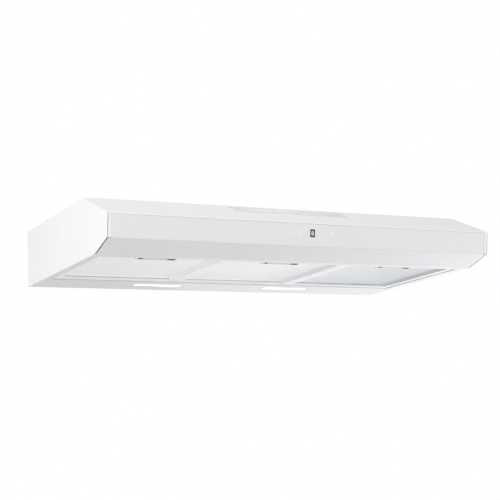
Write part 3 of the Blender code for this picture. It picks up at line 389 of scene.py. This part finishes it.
# Each wall of a tray leans in, from its foot on the rim to its head at the face.
FOOT_INSET = 10.9 * MM
HEAD_INSET = 13.5 * MM
# The rear wall's holes: half a hole's width, then half its height and the plain edge beside it, both as
# shares of the wall's height.
WALL_HOLE_HALF = 1.7 * MM
WALL_HOLE_SHARE = 0.26
WALL_EDGE_SHARE = 0.15
# Room that the walls and the rim leave at each end of the latch.
WALL_ROOM = 2.5 * MM
RIM_ROOM = 0.5 * MM


def patch(corners, columns, rows, edge, hole, diamond=False):
    """Four-cornered sheet of staggered holes inside a plain edge, as faces given by their points.

    'edge' and 'hole' are shares of the sheet's width and height: (across, along).
    """
    c00, c10, c11, c01 = (Vector(c) for c in corners)
    faces = []

    def at(u, v):
        return (c00 * (1 - u) + c10 * u) * (1 - v) + (c01 * (1 - u) + c11 * u) * v

    def add(points):
        faces.append([at(*point) for point in reversed(points)])

    step_u, step_v = (1 - 2 * edge[0]) / columns / 2, (1 - 2 * edge[1]) / rows / 2
    lines_u = [0, *(edge[0] + step_u * i for i in range(2 * columns + 1)), 1]
    lines_v = [0, *(edge[1] + step_v * i for i in range(2 * rows + 1)), 1]
    for i, (u0, u1) in enumerate(zip(lines_u, lines_u[1:])):
        for v0, v1 in ((lines_v[0], lines_v[1]), (lines_v[-2], lines_v[-1])):
            add(((u0, v0), (u1, v0), (u1, v1), (u0, v1)))
        if i in (0, 2 * columns + 1):
            for v0, v1 in zip(lines_v[1:-1], lines_v[2:-1]):
                add(((u0, v0), (u1, v0), (u1, v1), (u0, v1)))
    turns = [math.radians(225 + 45 * i) for i in range(8)]
    for row in range(rows):
        v0, vm, v1 = (edge[1] + step_v * (2 * row + i) for i in range(3))
        shift = row % 2
        for column in range(columns - shift):
            um = edge[0] + step_u * (2 * column + 1 + shift)
            u0, u1 = um - step_u, um + step_u
            outer = ((u0, v0), (um, v0), (u1, v0), (u1, vm), (u1, v1), (um, v1), (u0, v1), (u0, vm))
            inner = []
            for a in turns:
                reach = 1 / (abs(math.cos(a)) + abs(math.sin(a))) if diamond else 1
                inner.append((um + hole[0] * reach * math.cos(a), vm + hole[1] * reach * math.sin(a)))
            for i in range(8):
                j = (i + 1) % 8
                add((outer[i], outer[j], inner[j], inner[i]))
        if shift:
            for u0, u1 in ((edge[0], edge[0] + step_u), (1 - edge[0] - step_u, 1 - edge[0])):
                add(((u0, v0), (u1, v0), (u1, vm), (u0, vm)))
                add(((u0, vm), (u1, vm), (u1, v1), (u0, v1)))
    return faces


def sheet_mesh(name, faces):
    """An open sheet from faces that share their edge points."""
    numbers, points, rows = {}, [], []
    for face in faces:
        row = []
        for point in face:
            key = tuple(round(c * 1e7) for c in point)
            if key not in numbers:
                numbers[key] = len(points)
                points.append(tuple(point))
            row.append(numbers[key])
        rows.append(row)
    mesh = bpy.data.meshes.new(name)
    mesh.from_pydata(points, [], rows)
    return mesh


def thick(made, thickness):
    step = made.modifiers.new("sheet", "SOLIDIFY")
    step.thickness, step.offset = thickness, -1


def filter_tray(side):
    """Tray with a perforated recessed face, leaning walls and a plain rim in the frame's channel.

    The rear wall has a row of holes, and the front wall and rim leave room for the latch.
    """
    low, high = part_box(f"filter_face_{side}")
    x, y = (low.x + high.x) / 2, (low.y + high.y) / 2
    rim_x, rim_y = (high.x - low.x) / 2, (high.y - low.y) / 2
    rim_z, face_z = low.z, high.z - TRAY_SHEET
    latch_low, latch_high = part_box(f"latch_plate_{side}")
    latch_x, latch_half = (latch_low.x + latch_high.x) / 2, (latch_high.x - latch_low.x) / 2

    def corner(a, b, inset, z):
        return Vector((x + a * (rim_x - inset), y + b * (rim_y - inset), z))

    def in_latch_gap(at):
        return at.y < latch_high.y and abs(at.x - latch_x) < latch_half + WALL_ROOM

    size_x, size_y = 2 * (rim_x - HEAD_INSET), 2 * (rim_y - HEAD_INSET)
    columns, rows = round(size_x / HOLE_PITCH) - 1, round(size_y / ROW_PITCH) - 2
    rows -= 1 - rows % 2  # an odd number, so that the last row matches the first
    edge_x, edge_y = PLAIN_EDGE / size_x, PLAIN_EDGE / size_y
    face_corners = [corner(a, b, HEAD_INSET, face_z) for a, b in ((-1, -1), (1, -1), (1, 1), (-1, 1))]
    faces = patch(face_corners, columns, rows, (edge_x, edge_y), (HOLE_R / size_x, HOLE_R / size_y))

    def strip(first, second, start, end):
        """The part of the band between two lines of points that runs from share 'start' to 'end'."""
        points = [first[0].lerp(first[1], start), first[0].lerp(first[1], end)]
        return points + [second[0].lerp(second[1], end), second[0].lerp(second[1], start)]

    for (a, b), (c, d), count, edge in (
        ((-1, 1), (1, 1), columns, edge_x),
        ((1, 1), (1, -1), rows, edge_y),
        ((1, -1), (-1, -1), columns, edge_x),
        ((-1, -1), (-1, 1), rows, edge_y),
    ):
        head = [corner(a, b, HEAD_INSET, face_z), corner(c, d, HEAD_INSET, face_z)]
        foot = [corner(a, b, FOOT_INSET, rim_z), corner(c, d, FOOT_INSET, rim_z)]
        outer = [corner(a, b, 0, rim_z), corner(c, d, 0, rim_z)]
        if b == d == 1:
            hole = (WALL_HOLE_HALF / size_x, WALL_HOLE_SHARE)
            faces += patch(head + foot[::-1], count, 1, (edge, WALL_EDGE_SHARE), hole)
        else:
            # cut at the face's own edge points, so that the two share them
            line = [0, *(edge + (1 - 2 * edge) * i / count / 2 for i in range(2 * count + 1)), 1]
            for start, end in zip(line, line[1:]):
                part = strip(head, foot, start, end)
                if not in_latch_gap(sum(part, Vector()) / 4):
                    faces.append(part[::-1])
        if b == d == -1:
            left, right = foot[1].x, foot[0].x
            ends = [(latch_x + s * (latch_half + RIM_ROOM) - left) / (right - left) for s in (-1, 1)]
            for start, end in ((0, 1 - ends[1]), (1 - ends[0], 1)):
                faces.append(strip(foot, outer, start, end)[::-1])
        else:
            faces.append([outer[0], outer[1], foot[1], foot[0]])
    mesh = sheet_mesh(f"perforated_tray_{side}", faces)
    made = piece(mesh.name, mesh, f"{side}_filter", "filter_metal", replaces=[f"filter_face_{side}"])
    thick(made, TRAY_SHEET)


def filter_pack(side):
    """Two layers of expanded metal that fill the pack's place, with different diamond counts."""
    low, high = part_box(f"filter_mesh_{side}")
    size = high - low
    faces = []
    strand, border = 0.75 * MM, 1.5 * MM
    for z, columns, rows in ((high.z, 19, 41), (low.z + strand, 17, 37)):
        corners = [(low.x, low.y, z), (high.x, low.y, z), (high.x, high.y, z), (low.x, high.y, z)]
        hole = (0.48 / columns, 0.62 / rows)  # half a diamond's width and height, as shares
        edge = (border / size.x, border / size.y)
        faces += [face[::-1] for face in patch(corners, columns, rows, edge, hole, diamond=True)]
    mesh = sheet_mesh(f"expanded_pack_{side}", faces)
    made = piece(mesh.name, mesh, f"{side}_filter", "filter_metal", replaces=[f"filter_mesh_{side}"])
    thick(made, strand)


def catch_grip(side):
    """Low ribs on the catch's thumb face."""
    low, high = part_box(f"latch_catch_{side}")
    half, length, pitch = 0.6 * MM, 8 * MM, 3.4 * MM
    rear, proud, root = high.y - 1.2 * MM, 0.45 * MM, 0.2 * MM

    def build(bm):
        for i in range(6):
            x = low.x + 3 * MM + i * pitch
            add_block(bm, (x - half, rear - length, low.z - proud), (x + half, rear, low.z + root))

    name = f"catch_grip_{side}"
    bevel(piece(name, mesh_of(name, build), f"{side}_catch", "latch_plastic"), 0.15 * MM)


def finger_cup(side):
    """Near-black linings at both ends of the latch's finger pocket, painted shade for the pocket's dark
    ends; the catch runs between them.
    """
    low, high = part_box(f"latch_plate_{side}")
    x = (low.x + high.x) / 2
    play, sheet = 0.02 * MM, 0.25 * MM
    pocket_half, left_length, right_length = 40.5 * MM, 10.5 * MM, 14 * MM
    outer = pocket_half - play
    front, rear = low.y + 2.7 * MM + play, high.y - 3.5 * MM - play
    foot, roof = low.z + 0.2 * MM, high.z - 0.8 * MM - play

    def build(bm):
        for sign, length in ((-1, left_length), (1, right_length)):
            ends = [x + sign * c for c in (outer, outer - sheet, outer - length)]
            left, right = min(ends[1:]), max(ends[1:])
            add_block(bm, (min(ends[:2]), front, foot), (max(ends[:2]), rear, roof))
            add_block(bm, (left, front, foot), (right, front + sheet, roof))
            add_block(bm, (left, rear - sheet, foot), (right, rear, roof))
            add_block(bm, (left, front + sheet, roof - sheet), (right, rear - sheet, roof))

    name = f"finger_cup_{side}"
    piece(name, mesh_of(name, build), f"{side}_filter", "black_plastic", POCKET_SHADE_LINING)


def spring_coil(side):
    """Coil spring wound along Y in the latch spring's place."""
    low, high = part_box(f"latch_spring_{side}")
    wire = 0.3 * MM
    centre = (low + high) / 2
    radius = (high.x - low.x) / 2 - wire
    turns, per_turn, around = 4, 16, 6

    def build(bm):
        rings = []
        count = turns * per_turn
        for i in range(count + 1):
            angle = 2 * math.pi * i / per_turn
            out = Vector((math.cos(angle), 0, math.sin(angle)))
            y = low.y + wire + (high.y - low.y - 2 * wire) * i / count
            at = Vector((centre.x, y, centre.z)) + out * radius
            ring = []
            for k in range(around):
                turn = 2 * math.pi * k / around
                across = out * math.cos(turn) + Vector((0, 1, 0)) * math.sin(turn)
                ring.append(bm.verts.new(at + across * wire))
            rings.append(ring)
        for here, there in zip(rings, rings[1:]):
            for k in range(around):
                m = (k + 1) % around
                bm.faces.new((here[k], here[m], there[m], there[k]))
        bm.faces.new(rings[0])
        bm.faces.new(rings[-1])

    name = f"catch_spring_{side}"
    node = f"latch_spring_{side}"
    made = piece(name, mesh_of(name, build), f"{side}_filter", "steel", replaces=[node])
    smooth(made)
    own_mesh(made)


# ---------------------------------------------------------------- front

GLASS_LOW, GLASS_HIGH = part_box("front_glass")
GLASS_DEPTH = 4 * MM
DISPLAY = middle("display_module") + Vector((1.5 * MM, 0, 0))
DISPLAY_HALF = (5.6 * MM, 8 * MM)


def face_y(z):
    """y of the glass's outer face at height z: its top stands out in front of its foot."""
    share = (z - GLASS_LOW.z) / (GLASS_HIGH.z - GLASS_LOW.z)
    foot_y = GLASS_HIGH.y - GLASS_DEPTH
    return foot_y + (GLASS_LOW.y - foot_y) * share


def on_face(x, z, proud):
    """A point 'proud' metres in front of the glass's outer face."""
    return Vector((x, face_y(z) - proud, z))


def glass_front():
    """Glass strip with ground edges, and a clear window in its back paint in front of the display."""
    edge = 0.5 * MM

    def lines(low, centre, half, high):
        return [low, low + edge, centre - half, centre + half, high - edge, high]

    xs = lines(GLASS_LOW.x, DISPLAY.x, DISPLAY_HALF[0], GLASS_HIGH.x)
    zs = lines(GLASS_LOW.z, DISPLAY.z, DISPLAY_HALF[1], GLASS_HIGH.z)

    def build(bm):
        def vert(x, z):
            ground = x in (xs[0], xs[-1]) or z in (zs[0], zs[-1])
            return bm.verts.new(on_face(x, z, -edge if ground else 0))

        front = [[vert(x, z) for x in xs] for z in zs]
        back = [[bm.verts.new(on_face(x, z, -GLASS_DEPTH)) for x in xs] for z in zs]
        for i in range(5):
            for j in range(5):
                for grid in (front, back):
                    bm.faces.new((grid[i][j], grid[i][j + 1], grid[i + 1][j + 1], grid[i + 1][j]))
        for k in range(5):
            bm.faces.new((front[0][k], front[0][k + 1], back[0][k + 1], back[0][k]))
            bm.faces.new((front[5][k], front[5][k + 1], back[5][k + 1], back[5][k]))
            bm.faces.new((front[k][0], front[k + 1][0], back[k + 1][0], back[k][0]))
            bm.faces.new((front[k][5], front[k + 1][5], back[k + 1][5], back[k][5]))

    name = "glass_front"
    made = piece(name, mesh_of(name, build), "hood", "white_glass", replaces=["front_glass"])
    made.data.materials.append(LOOKS["dark_glass"].material)
    for face in made.data.polygons:
        off = face.center - DISPLAY
        face.material_index = int(abs(off.x) < DISPLAY_HALF[0] and abs(off.z) < DISPLAY_HALF[1])


def glass_seal():
    """Pale bead under the glass's foot, set back a little from its face."""
    foot, head = GLASS_LOW.z - 0.9 * MM, GLASS_LOW.z
    front, back, end_gap = -0.7 * MM, -3 * MM, 1 * MM
    section = ((foot, front), (head, front), (head, back), (foot, back))
    xs = (GLASS_LOW.x + end_gap, GLASS_HIGH.x - end_gap)

    def build(bm):
        add_prism(bm, [[on_face(x, z, proud) for z, proud in section] for x in xs])

    bevel(piece("glass_seal", mesh_of("glass_seal", build), "hood", "white_paint"), 0.15 * MM)


PRINT_THICKNESS = 0.05 * MM


def print_on_face(name, strokes, look):
    """Thin flat print on the glass: each stroke is (points, width, closed) in millimetres."""

    def build(bm):
        def vert(p, proud):
            return bm.verts.new(on_face(p.x * MM, DISPLAY.z + p.y * MM, proud))

        for points, width, closed in strokes:
            line = [Vector(p) for p in points]
            count = len(line)
            pairs = []
            for i, at in enumerate(line):
                before = line[i - 1] if closed or i else at
                after = line[(i + 1) % count] if closed or i < count - 1 else at
                along = (after - before).normalized()
                side = Vector((-along.y, along.x)) * width / 2
                pairs.append((at - side, at + side))
            low = [[vert(p, 0.0) for p in pair] for pair in pairs]
            high = [[vert(p, PRINT_THICKNESS) for p in pair] for pair in pairs]
            for i in range(count if closed else count - 1):
                j = (i + 1) % count
                for grid in (low, high):
                    bm.faces.new((grid[i][0], grid[j][0], grid[j][1], grid[i][1]))
                for k in (0, 1):
                    bm.faces.new((low[i][k], low[j][k], high[j][k], high[i][k]))
            if not closed:
                for i in (0, count - 1):
                    bm.faces.new((low[i][0], low[i][1], high[i][1], high[i][0]))

    piece(name, mesh_of(name, build), "hood", "white_glass", look)


def arc(x, y, radius, start=0, end=360, count=20):
    """Points along an arc, in degrees from +X; a full turn doesn't repeat its first point."""
    closed = end - start == 360
    steps = count if closed else count + 1
    turns = (math.radians(start + (end - start) * i / count) for i in range(steps))
    return [(x + radius * math.cos(a), y + radius * math.sin(a)) for a in turns]


def front_prints():
    """A seven-segment figure in the display, and four plain touch symbols beside it."""
    w, h = 2.2, 4.0
    bar_width, bar_gap = 0.8, 0.45
    shift = Vector((DISPLAY.x / MM, 0))
    bars = [((a * w, b * h), (a * w, c * h)) for a in (-1, 1) for b, c in ((1, 0), (0, -1))]
    bars += [((-w, b * h), (w, b * h)) for b in (-1, 0, 1)]
    digit = []
    for start, end in bars:
        a, b = shift + Vector(start), shift + Vector(end)
        gap = (b - a).normalized() * bar_gap
        digit.append(([a + gap, b - gap], bar_width, False))
    print_on_face("display_digit", digit, DIGIT_GLOW)
    power = [(arc(-44, 0, 3.4, 120, 420), 0.8, False), ([(-44, 0.6), (-44, 4.6)], 0.8, False)]
    fan = [(arc(-26, 0, 0.8), 0.6, True)]
    for turn in (90, 210, 330):
        a = math.radians(turn)
        fan.append((arc(-26 + 2.3 * math.cos(a), 2.3 * math.sin(a), 1.2), 0.7, True))
    lamp = [(arc(23, 0.6, 2.2, -50, 230), 0.7, False), ([(21.8, -2.2), (24.2, -2.2)], 0.7, False)]
    lamp += [([(22.2, -3.4), (23.8, -3.4)], 0.7, False)]
    timer = [(arc(47, 0, 3.3), 0.7, True), ([(47, 2.0), (47, 0), (48.6, -0.8)], 0.7, False)]
    for name, strokes in (("power", power), ("fan", fan), ("lamp", lamp), ("timer", timer)):
        print_on_face(f"touch_symbol_{name}", strokes, GLOWING_ICON_PRINT)


# ---------------------------------------------------------------- lamps


def lamp_lens(side):
    """Frosted lens with fine ribs along it, a painted bezel round them, and a flange on the sheet."""
    low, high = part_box(f"led_lens_{side}")
    edge, bezel, rib_depth, ribs = 3 * MM, 4.5 * MM, 0.35 * MM, 10
    mid_z = low.z + 1.5 * MM
    x0, x1 = low.x + edge, high.x - edge
    y0, y1 = low.y + edge, high.y - edge

    def build(bm):
        foot, head = y0 + bezel, y1 - bezel
        profile = [(foot, mid_z)]
        for i in range(ribs):
            for part, z in ((0.12, rib_depth), (0.5, 0.0), (0.88, rib_depth)):
                profile.append((foot + (head - foot) * (i + part) / ribs, low.z + z))
        profile.append((head, mid_z))
        add_prism(bm, [[(x, y, z) for y, z in profile] for x in (x0 + bezel, x1 - bezel)])
        add_block(bm, (low.x, low.y, mid_z), high)

    def build_bezel(bm):
        loops = []
        for inset, z in ((0, mid_z), (0, low.z), (bezel, low.z), (bezel, mid_z)):
            xs, ys = (x0 + inset, x1 - inset), (y0 + inset, y1 - inset)
            corners = ((xs[0], ys[0]), (xs[1], ys[0]), (xs[1], ys[1]), (xs[0], ys[1]))
            loops.append([bm.verts.new((x, y, z)) for x, y in corners])
        for i, loop in enumerate(loops):
            after = loops[(i + 1) % 4]
            for j in range(4):
                k = (j + 1) % 4
                bm.faces.new((loop[j], loop[k], after[k], after[j]))

    name = f"lens_bezel_{side}"
    bevel(piece(name, mesh_of(name, build_bezel), "hood", "pale_paint"), 0.2 * MM)
    name = f"ribbed_lens_{side}"
    piece(name, mesh_of(name, build), "hood", "lamp_lens", replaces=[f"led_lens_{side}"])


# ---------------------------------------------------------------- roof fittings


def collar_piece():
    """Duct spigot with a rolled bead, a rounded flange and an inner lip."""
    low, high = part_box("outlet_collar")
    centre = ((low.x + high.x) / 2, (low.y + high.y) / 2, 0)
    flange_r, wall_r, wall = (high.x - low.x) / 2, 75 * MM, 1.5 * MM
    flange_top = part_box("collar_screw_1")[1].z - 2.5 * MM  # the screws' heads stand on it
    lip, lip_sheet = 6 * MM, 2 * MM
    section = [
        (wall_r, high.z),
        (wall_r, high.z - 8 * MM),
        (wall_r - 0.7 * MM, high.z - 9.5 * MM),
        (wall_r, high.z - 11 * MM),
        (wall_r, flange_top),
        (flange_r, flange_top),
        (flange_r, flange_top - wall),
        (wall_r, flange_top - wall),
        (wall_r, low.z),
        (wall_r - lip, low.z),
        (wall_r - lip, low.z + lip_sheet),
        (wall_r - wall, low.z + lip_sheet),
        (wall_r - wall, high.z),
    ]

    def build(bm):
        add_ring(bm, rounded_profile(section, 0.6 * MM), centre, 96)

    name = "duct_spigot"
    smooth(piece(name, mesh_of(name, build), "hood", "grey_plastic", replaces=["outlet_collar"]), 50)


def pan_screw(number):
    """Pan head with a cross recess, over the shank."""
    low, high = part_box(f"collar_screw_{number}")
    centre = ((low.x + high.x) / 2, (low.y + high.y) / 2)
    centre_r, shank_r = 0.0001 * MM, 1.7 * MM
    dome = ((1.6, -0.1), (2.7, -0.5), (3.4, -1.2), (3.6, -1.8), (3.6, -2.2), (1.7, -2.2))
    outline = [(centre_r, high.z)] + [(r * MM, high.z + z * MM) for r, z in dome]
    outline += [(shank_r, low.z + 1 * MM), (centre_r, low.z)]
    slot_reach, slot_half, slot_depth = 1.9 * MM, 0.4 * MM, 1.3 * MM

    def head(bm):
        add_ring(bm, outline, (*centre, 0), 28)

    def cross(bm):
        for turn in (0, math.pi / 2):
            start = (centre[0] - slot_reach, centre[1] - slot_half, high.z - slot_depth)
            end = (centre[0] + slot_reach, centre[1] + slot_half, high.z + 1 * MM)
            add_block(bm, start, end, turn)

    name = f"cross_head_screw_{number}"
    made = piece(name, mesh_of(name, head), "hood", "steel", replaces=[f"collar_screw_{number}"])
    cutter = bpy.data.objects.new("cross", mesh_of("cross", cross))
    bpy.context.scene.collection.objects.link(cutter)
    step = made.modifiers.new("recess", "BOOLEAN")
    step.object, step.operation, step.solver, step.use_self = cutter, "DIFFERENCE", "EXACT", True
    graph = bpy.context.evaluated_depsgraph_get()
    mesh = bpy.data.meshes.new_from_object(made.evaluated_get(graph))
    made.modifiers.clear()
    made.data = mesh
    bpy.data.objects.remove(cutter)
    smooth(made, 40)


def gland_piece():
    """Strain relief: a collar under the roof, a threaded neck and a clamping cone over it."""
    low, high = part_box("cable_gland")
    centre = ((low.x + high.x) / 2, (low.y + high.y) / 2, 0)
    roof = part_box("side_panel_left")[1].z
    seat = roof - 1.3 * MM
    neck, bore = 7.9 * MM, 3.5 * MM
    mouth, collar_r, collar, groove, pitch = 5.6 * MM, 12 * MM, 3 * MM, 0.6 * MM, 1.5 * MM
    outline = [(mouth, high.z), (neck, high.z - 4 * MM)]
    z = high.z - 5 * MM
    while z > roof + 0.5 * MM:
        outline += [(neck, z), (neck - groove, z - 0.5 * MM), (neck, z - 1.0 * MM)]
        z -= pitch
    outline += [(neck, seat), (collar_r, seat), (collar_r, seat - collar), (neck, seat - collar)]
    outline += [(neck, low.z), (bore, low.z), (bore, high.z)]

    def build(bm):
        add_ring(bm, outline, centre, 48)

    name = "strain_relief"
    smooth(piece(name, mesh_of(name, build), "hood", "black_plastic", replaces=["cable_gland"]), 30)


# ---------------------------------------------------------------- blower


def wheel_piece():
    """Centrifugal wheel: dished hub, bottom ring and curved blades."""
    low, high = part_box("impeller_wheel")
    centre = Vector(((low.x + high.x) / 2, (low.y + high.y) / 2, 0))
    radius = (high.x - low.x) / 2
    sheet = 1.5 * MM
    cup_r, cup_top = 48 * MM, low.z + 17.5 * MM
    boss_r, bore_r, boss_foot = 10 * MM, 4.3 * MM, low.z + 13.5 * MM
    hub = [
        (radius, high.z),
        (radius, high.z - sheet),
        (cup_r + sheet, high.z - sheet),
        (cup_r + sheet, cup_top - sheet),
        (boss_r, cup_top - sheet),
        (boss_r, boss_foot),
        (bore_r, boss_foot),
        (bore_r, cup_top),
        (cup_r, cup_top),
        (cup_r, high.z),
    ]
    ring_r, ring_top = radius - 17 * MM, low.z + 2 * MM
    ring = [(radius, ring_top), (radius, low.z), (ring_r, low.z), (ring_r, ring_top)]
    blades, steps, half = 40, 6, 0.55 * MM
    tip_r, reach, sweep = radius - 0.6 * MM, 15.6 * MM, 0.17
    foot, head = low.z + 1 * MM, high.z - 1 * MM

    def build(bm):
        add_ring(bm, rounded_profile(hub, 0.7 * MM, 2), centre, 72)
        add_ring(bm, rounded_profile(ring, 0.6 * MM, 2), centre, 72)
        for i in range(blades):
            line = []
            for s in range(steps + 1):
                t = s / steps
                r = tip_r - (1 - t) * reach
                a = 2 * math.pi * i / blades + sweep * (1 - t) ** 1.6
                line.append(Vector((r * math.cos(a), r * math.sin(a), 0)) + centre)
            near, far = [], []
            for s, at in enumerate(line):
                along = (line[min(s + 1, steps)] - line[max(s - 1, 0)]).normalized()
                side = Vector((-along.y, along.x, 0)) * half
                near.append(at - side)
                far.append(at + side)
            add_prism(bm, [[(p.x, p.y, z) for p in near + far[::-1]] for z in (foot, head)])

    name, node = "bladed_wheel", "impeller_wheel"
    smooth(piece(name, mesh_of(name, build), "blower_wheel", "black_plastic", replaces=[node]), 40)


def guard_piece():
    """Inlet guard: round rings on eight spokes, with rounded edges."""
    low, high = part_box("inlet_grille")
    centre = Vector(((low.x + high.x) / 2, (low.y + high.y) / 2, 0))
    at = centre + Vector((0, 0, (low.z + high.z) / 2))
    half = Vector((80 * MM, 1.2 * MM, (high.z - low.z) / 2 - 0.3 * MM))

    def build(bm):
        for inner, outer in ((76 * MM, 88 * MM), (51 * MM, 54 * MM), (26 * MM, 29 * MM)):
            ring = [(outer, high.z), (outer, low.z), (inner, low.z), (inner, high.z)]
            add_ring(bm, rounded_profile(ring, 0.6 * MM, 2), centre, 72)
        for i in range(4):
            add_block(bm, at - half, at + half, i * math.pi / 4)

    name = "finger_guard"
    smooth(piece(name, mesh_of(name, build), "hood", "black_plastic", replaces=["inlet_grille"]), 40)


# ---------------------------------------------------------------- run

add_camera()
finish_cad_nodes()
for side in SIDES:
    filter_tray(side)
    filter_pack(side)
    catch_grip(side)
    finger_cup(side)
    spring_coil(side)
glass_front()
glass_seal()
front_prints()
for side in ("left", "right"):
    lamp_lens(side)
collar_piece()
for number in range(1, 5):
    pan_screw(number)
gland_piece()
wheel_piece()
guard_piece()


# ---------------------------------------------------------------- studio


def add_light(name, at, towards, size, power, mirrored=True):
    """A soft box; one that isn't mirrored gives no highlight on gloss."""
    data = bpy.data.lights.new(name, "AREA")
    data.shape, data.size, data.size_y = "RECTANGLE", size[0], size[1]
    data.energy = power
    lamp = bpy.data.objects.new(name, data)
    lamp.location = at
    lamp.rotation_euler = (Vector(towards) - Vector(at)).to_track_quat("-Z", "Y").to_euler()
    lamp.visible_glossy, lamp.visible_camera = mirrored, False
    bpy.context.scene.collection.objects.link(lamp)


def add_world(seen, given):
    """White all round for the camera, and a softer white as light."""
    world = bpy.data.worlds.new("studio")
    world.use_nodes = True
    tree = world.node_tree
    background = tree.nodes["Background"]
    background.inputs["Color"].default_value = (given, given, given * 1.01, 1)
    other = tree.nodes.new("ShaderNodeBackground")
    other.inputs["Color"].default_value = (seen, seen, seen, 1)
    path = tree.nodes.new("ShaderNodeLightPath")
    mix = tree.nodes.new("ShaderNodeMixShader")
    tree.links.new(path.outputs["Is Camera Ray"], mix.inputs[0])
    tree.links.new(background.outputs[0], mix.inputs[1])
    tree.links.new(other.outputs[0], mix.inputs[2])
    tree.links.new(mix.outputs[0], tree.nodes["World Output"].inputs[0])
    bpy.context.scene.world = world


def add_floor():
    """Pale floor well below the hood, which hangs on a wall."""

    def build(bm):
        bmesh.ops.create_grid(bm, x_segments=1, y_segments=1, size=9.0)

    floor = bpy.data.objects.new("floor", mesh_of("floor", build))
    floor.location = (0, 0, -1.35)
    look = Look("pale_floor", (0.90, 0.90, 0.90), 0.8)
    look.tint(look.noise(3, 2), (0.885, 0.885, 0.885)).bump(look.noise(60, 2), 0.05 * MM)
    floor.data.materials.append(look.material)
    bpy.context.scene.collection.objects.link(floor)


bpy.context.scene.view_settings.view_transform = "Standard"
add_world(seen=1.0, given=0.36)
add_floor()
add_light("left_box", (-3.0, -1.0, 0.3), (0, -0.25, 0), (2.0, 2.0), 57)
add_light("front_box", (-0.9, -3.5, 1.8), (0, -0.3, 0), (2.5, 1.5), 29)
add_light("top_box", (0.0, -1.2, 2.2), (0, -0.3, 0), (2.5, 1.5), 36)
add_light("far_panel", (1.4, 4.0, -0.8), (0.3, -0.2, 0), (6.0, 1.0), 8)
add_light("far_right_panel", (3.3, 4.0, -0.8), (0.3, -0.2, 0), (3.0, 1.0), 6)
add_light("low_right", (1.1, -0.5, -0.8), (0.45, -0.46, 0), (0.6, 0.3), 7.5, False)
add_light("low_front", (0.9, -2.4, -0.9), (0.2, -0.1, 0), (2.4, 0.6), 7.0, False)
add_light("inside_fill", (-0.04, -0.34, -0.01), (-0.04, -0.345, 0.06), (0.12, 0.04), 0.09, False)
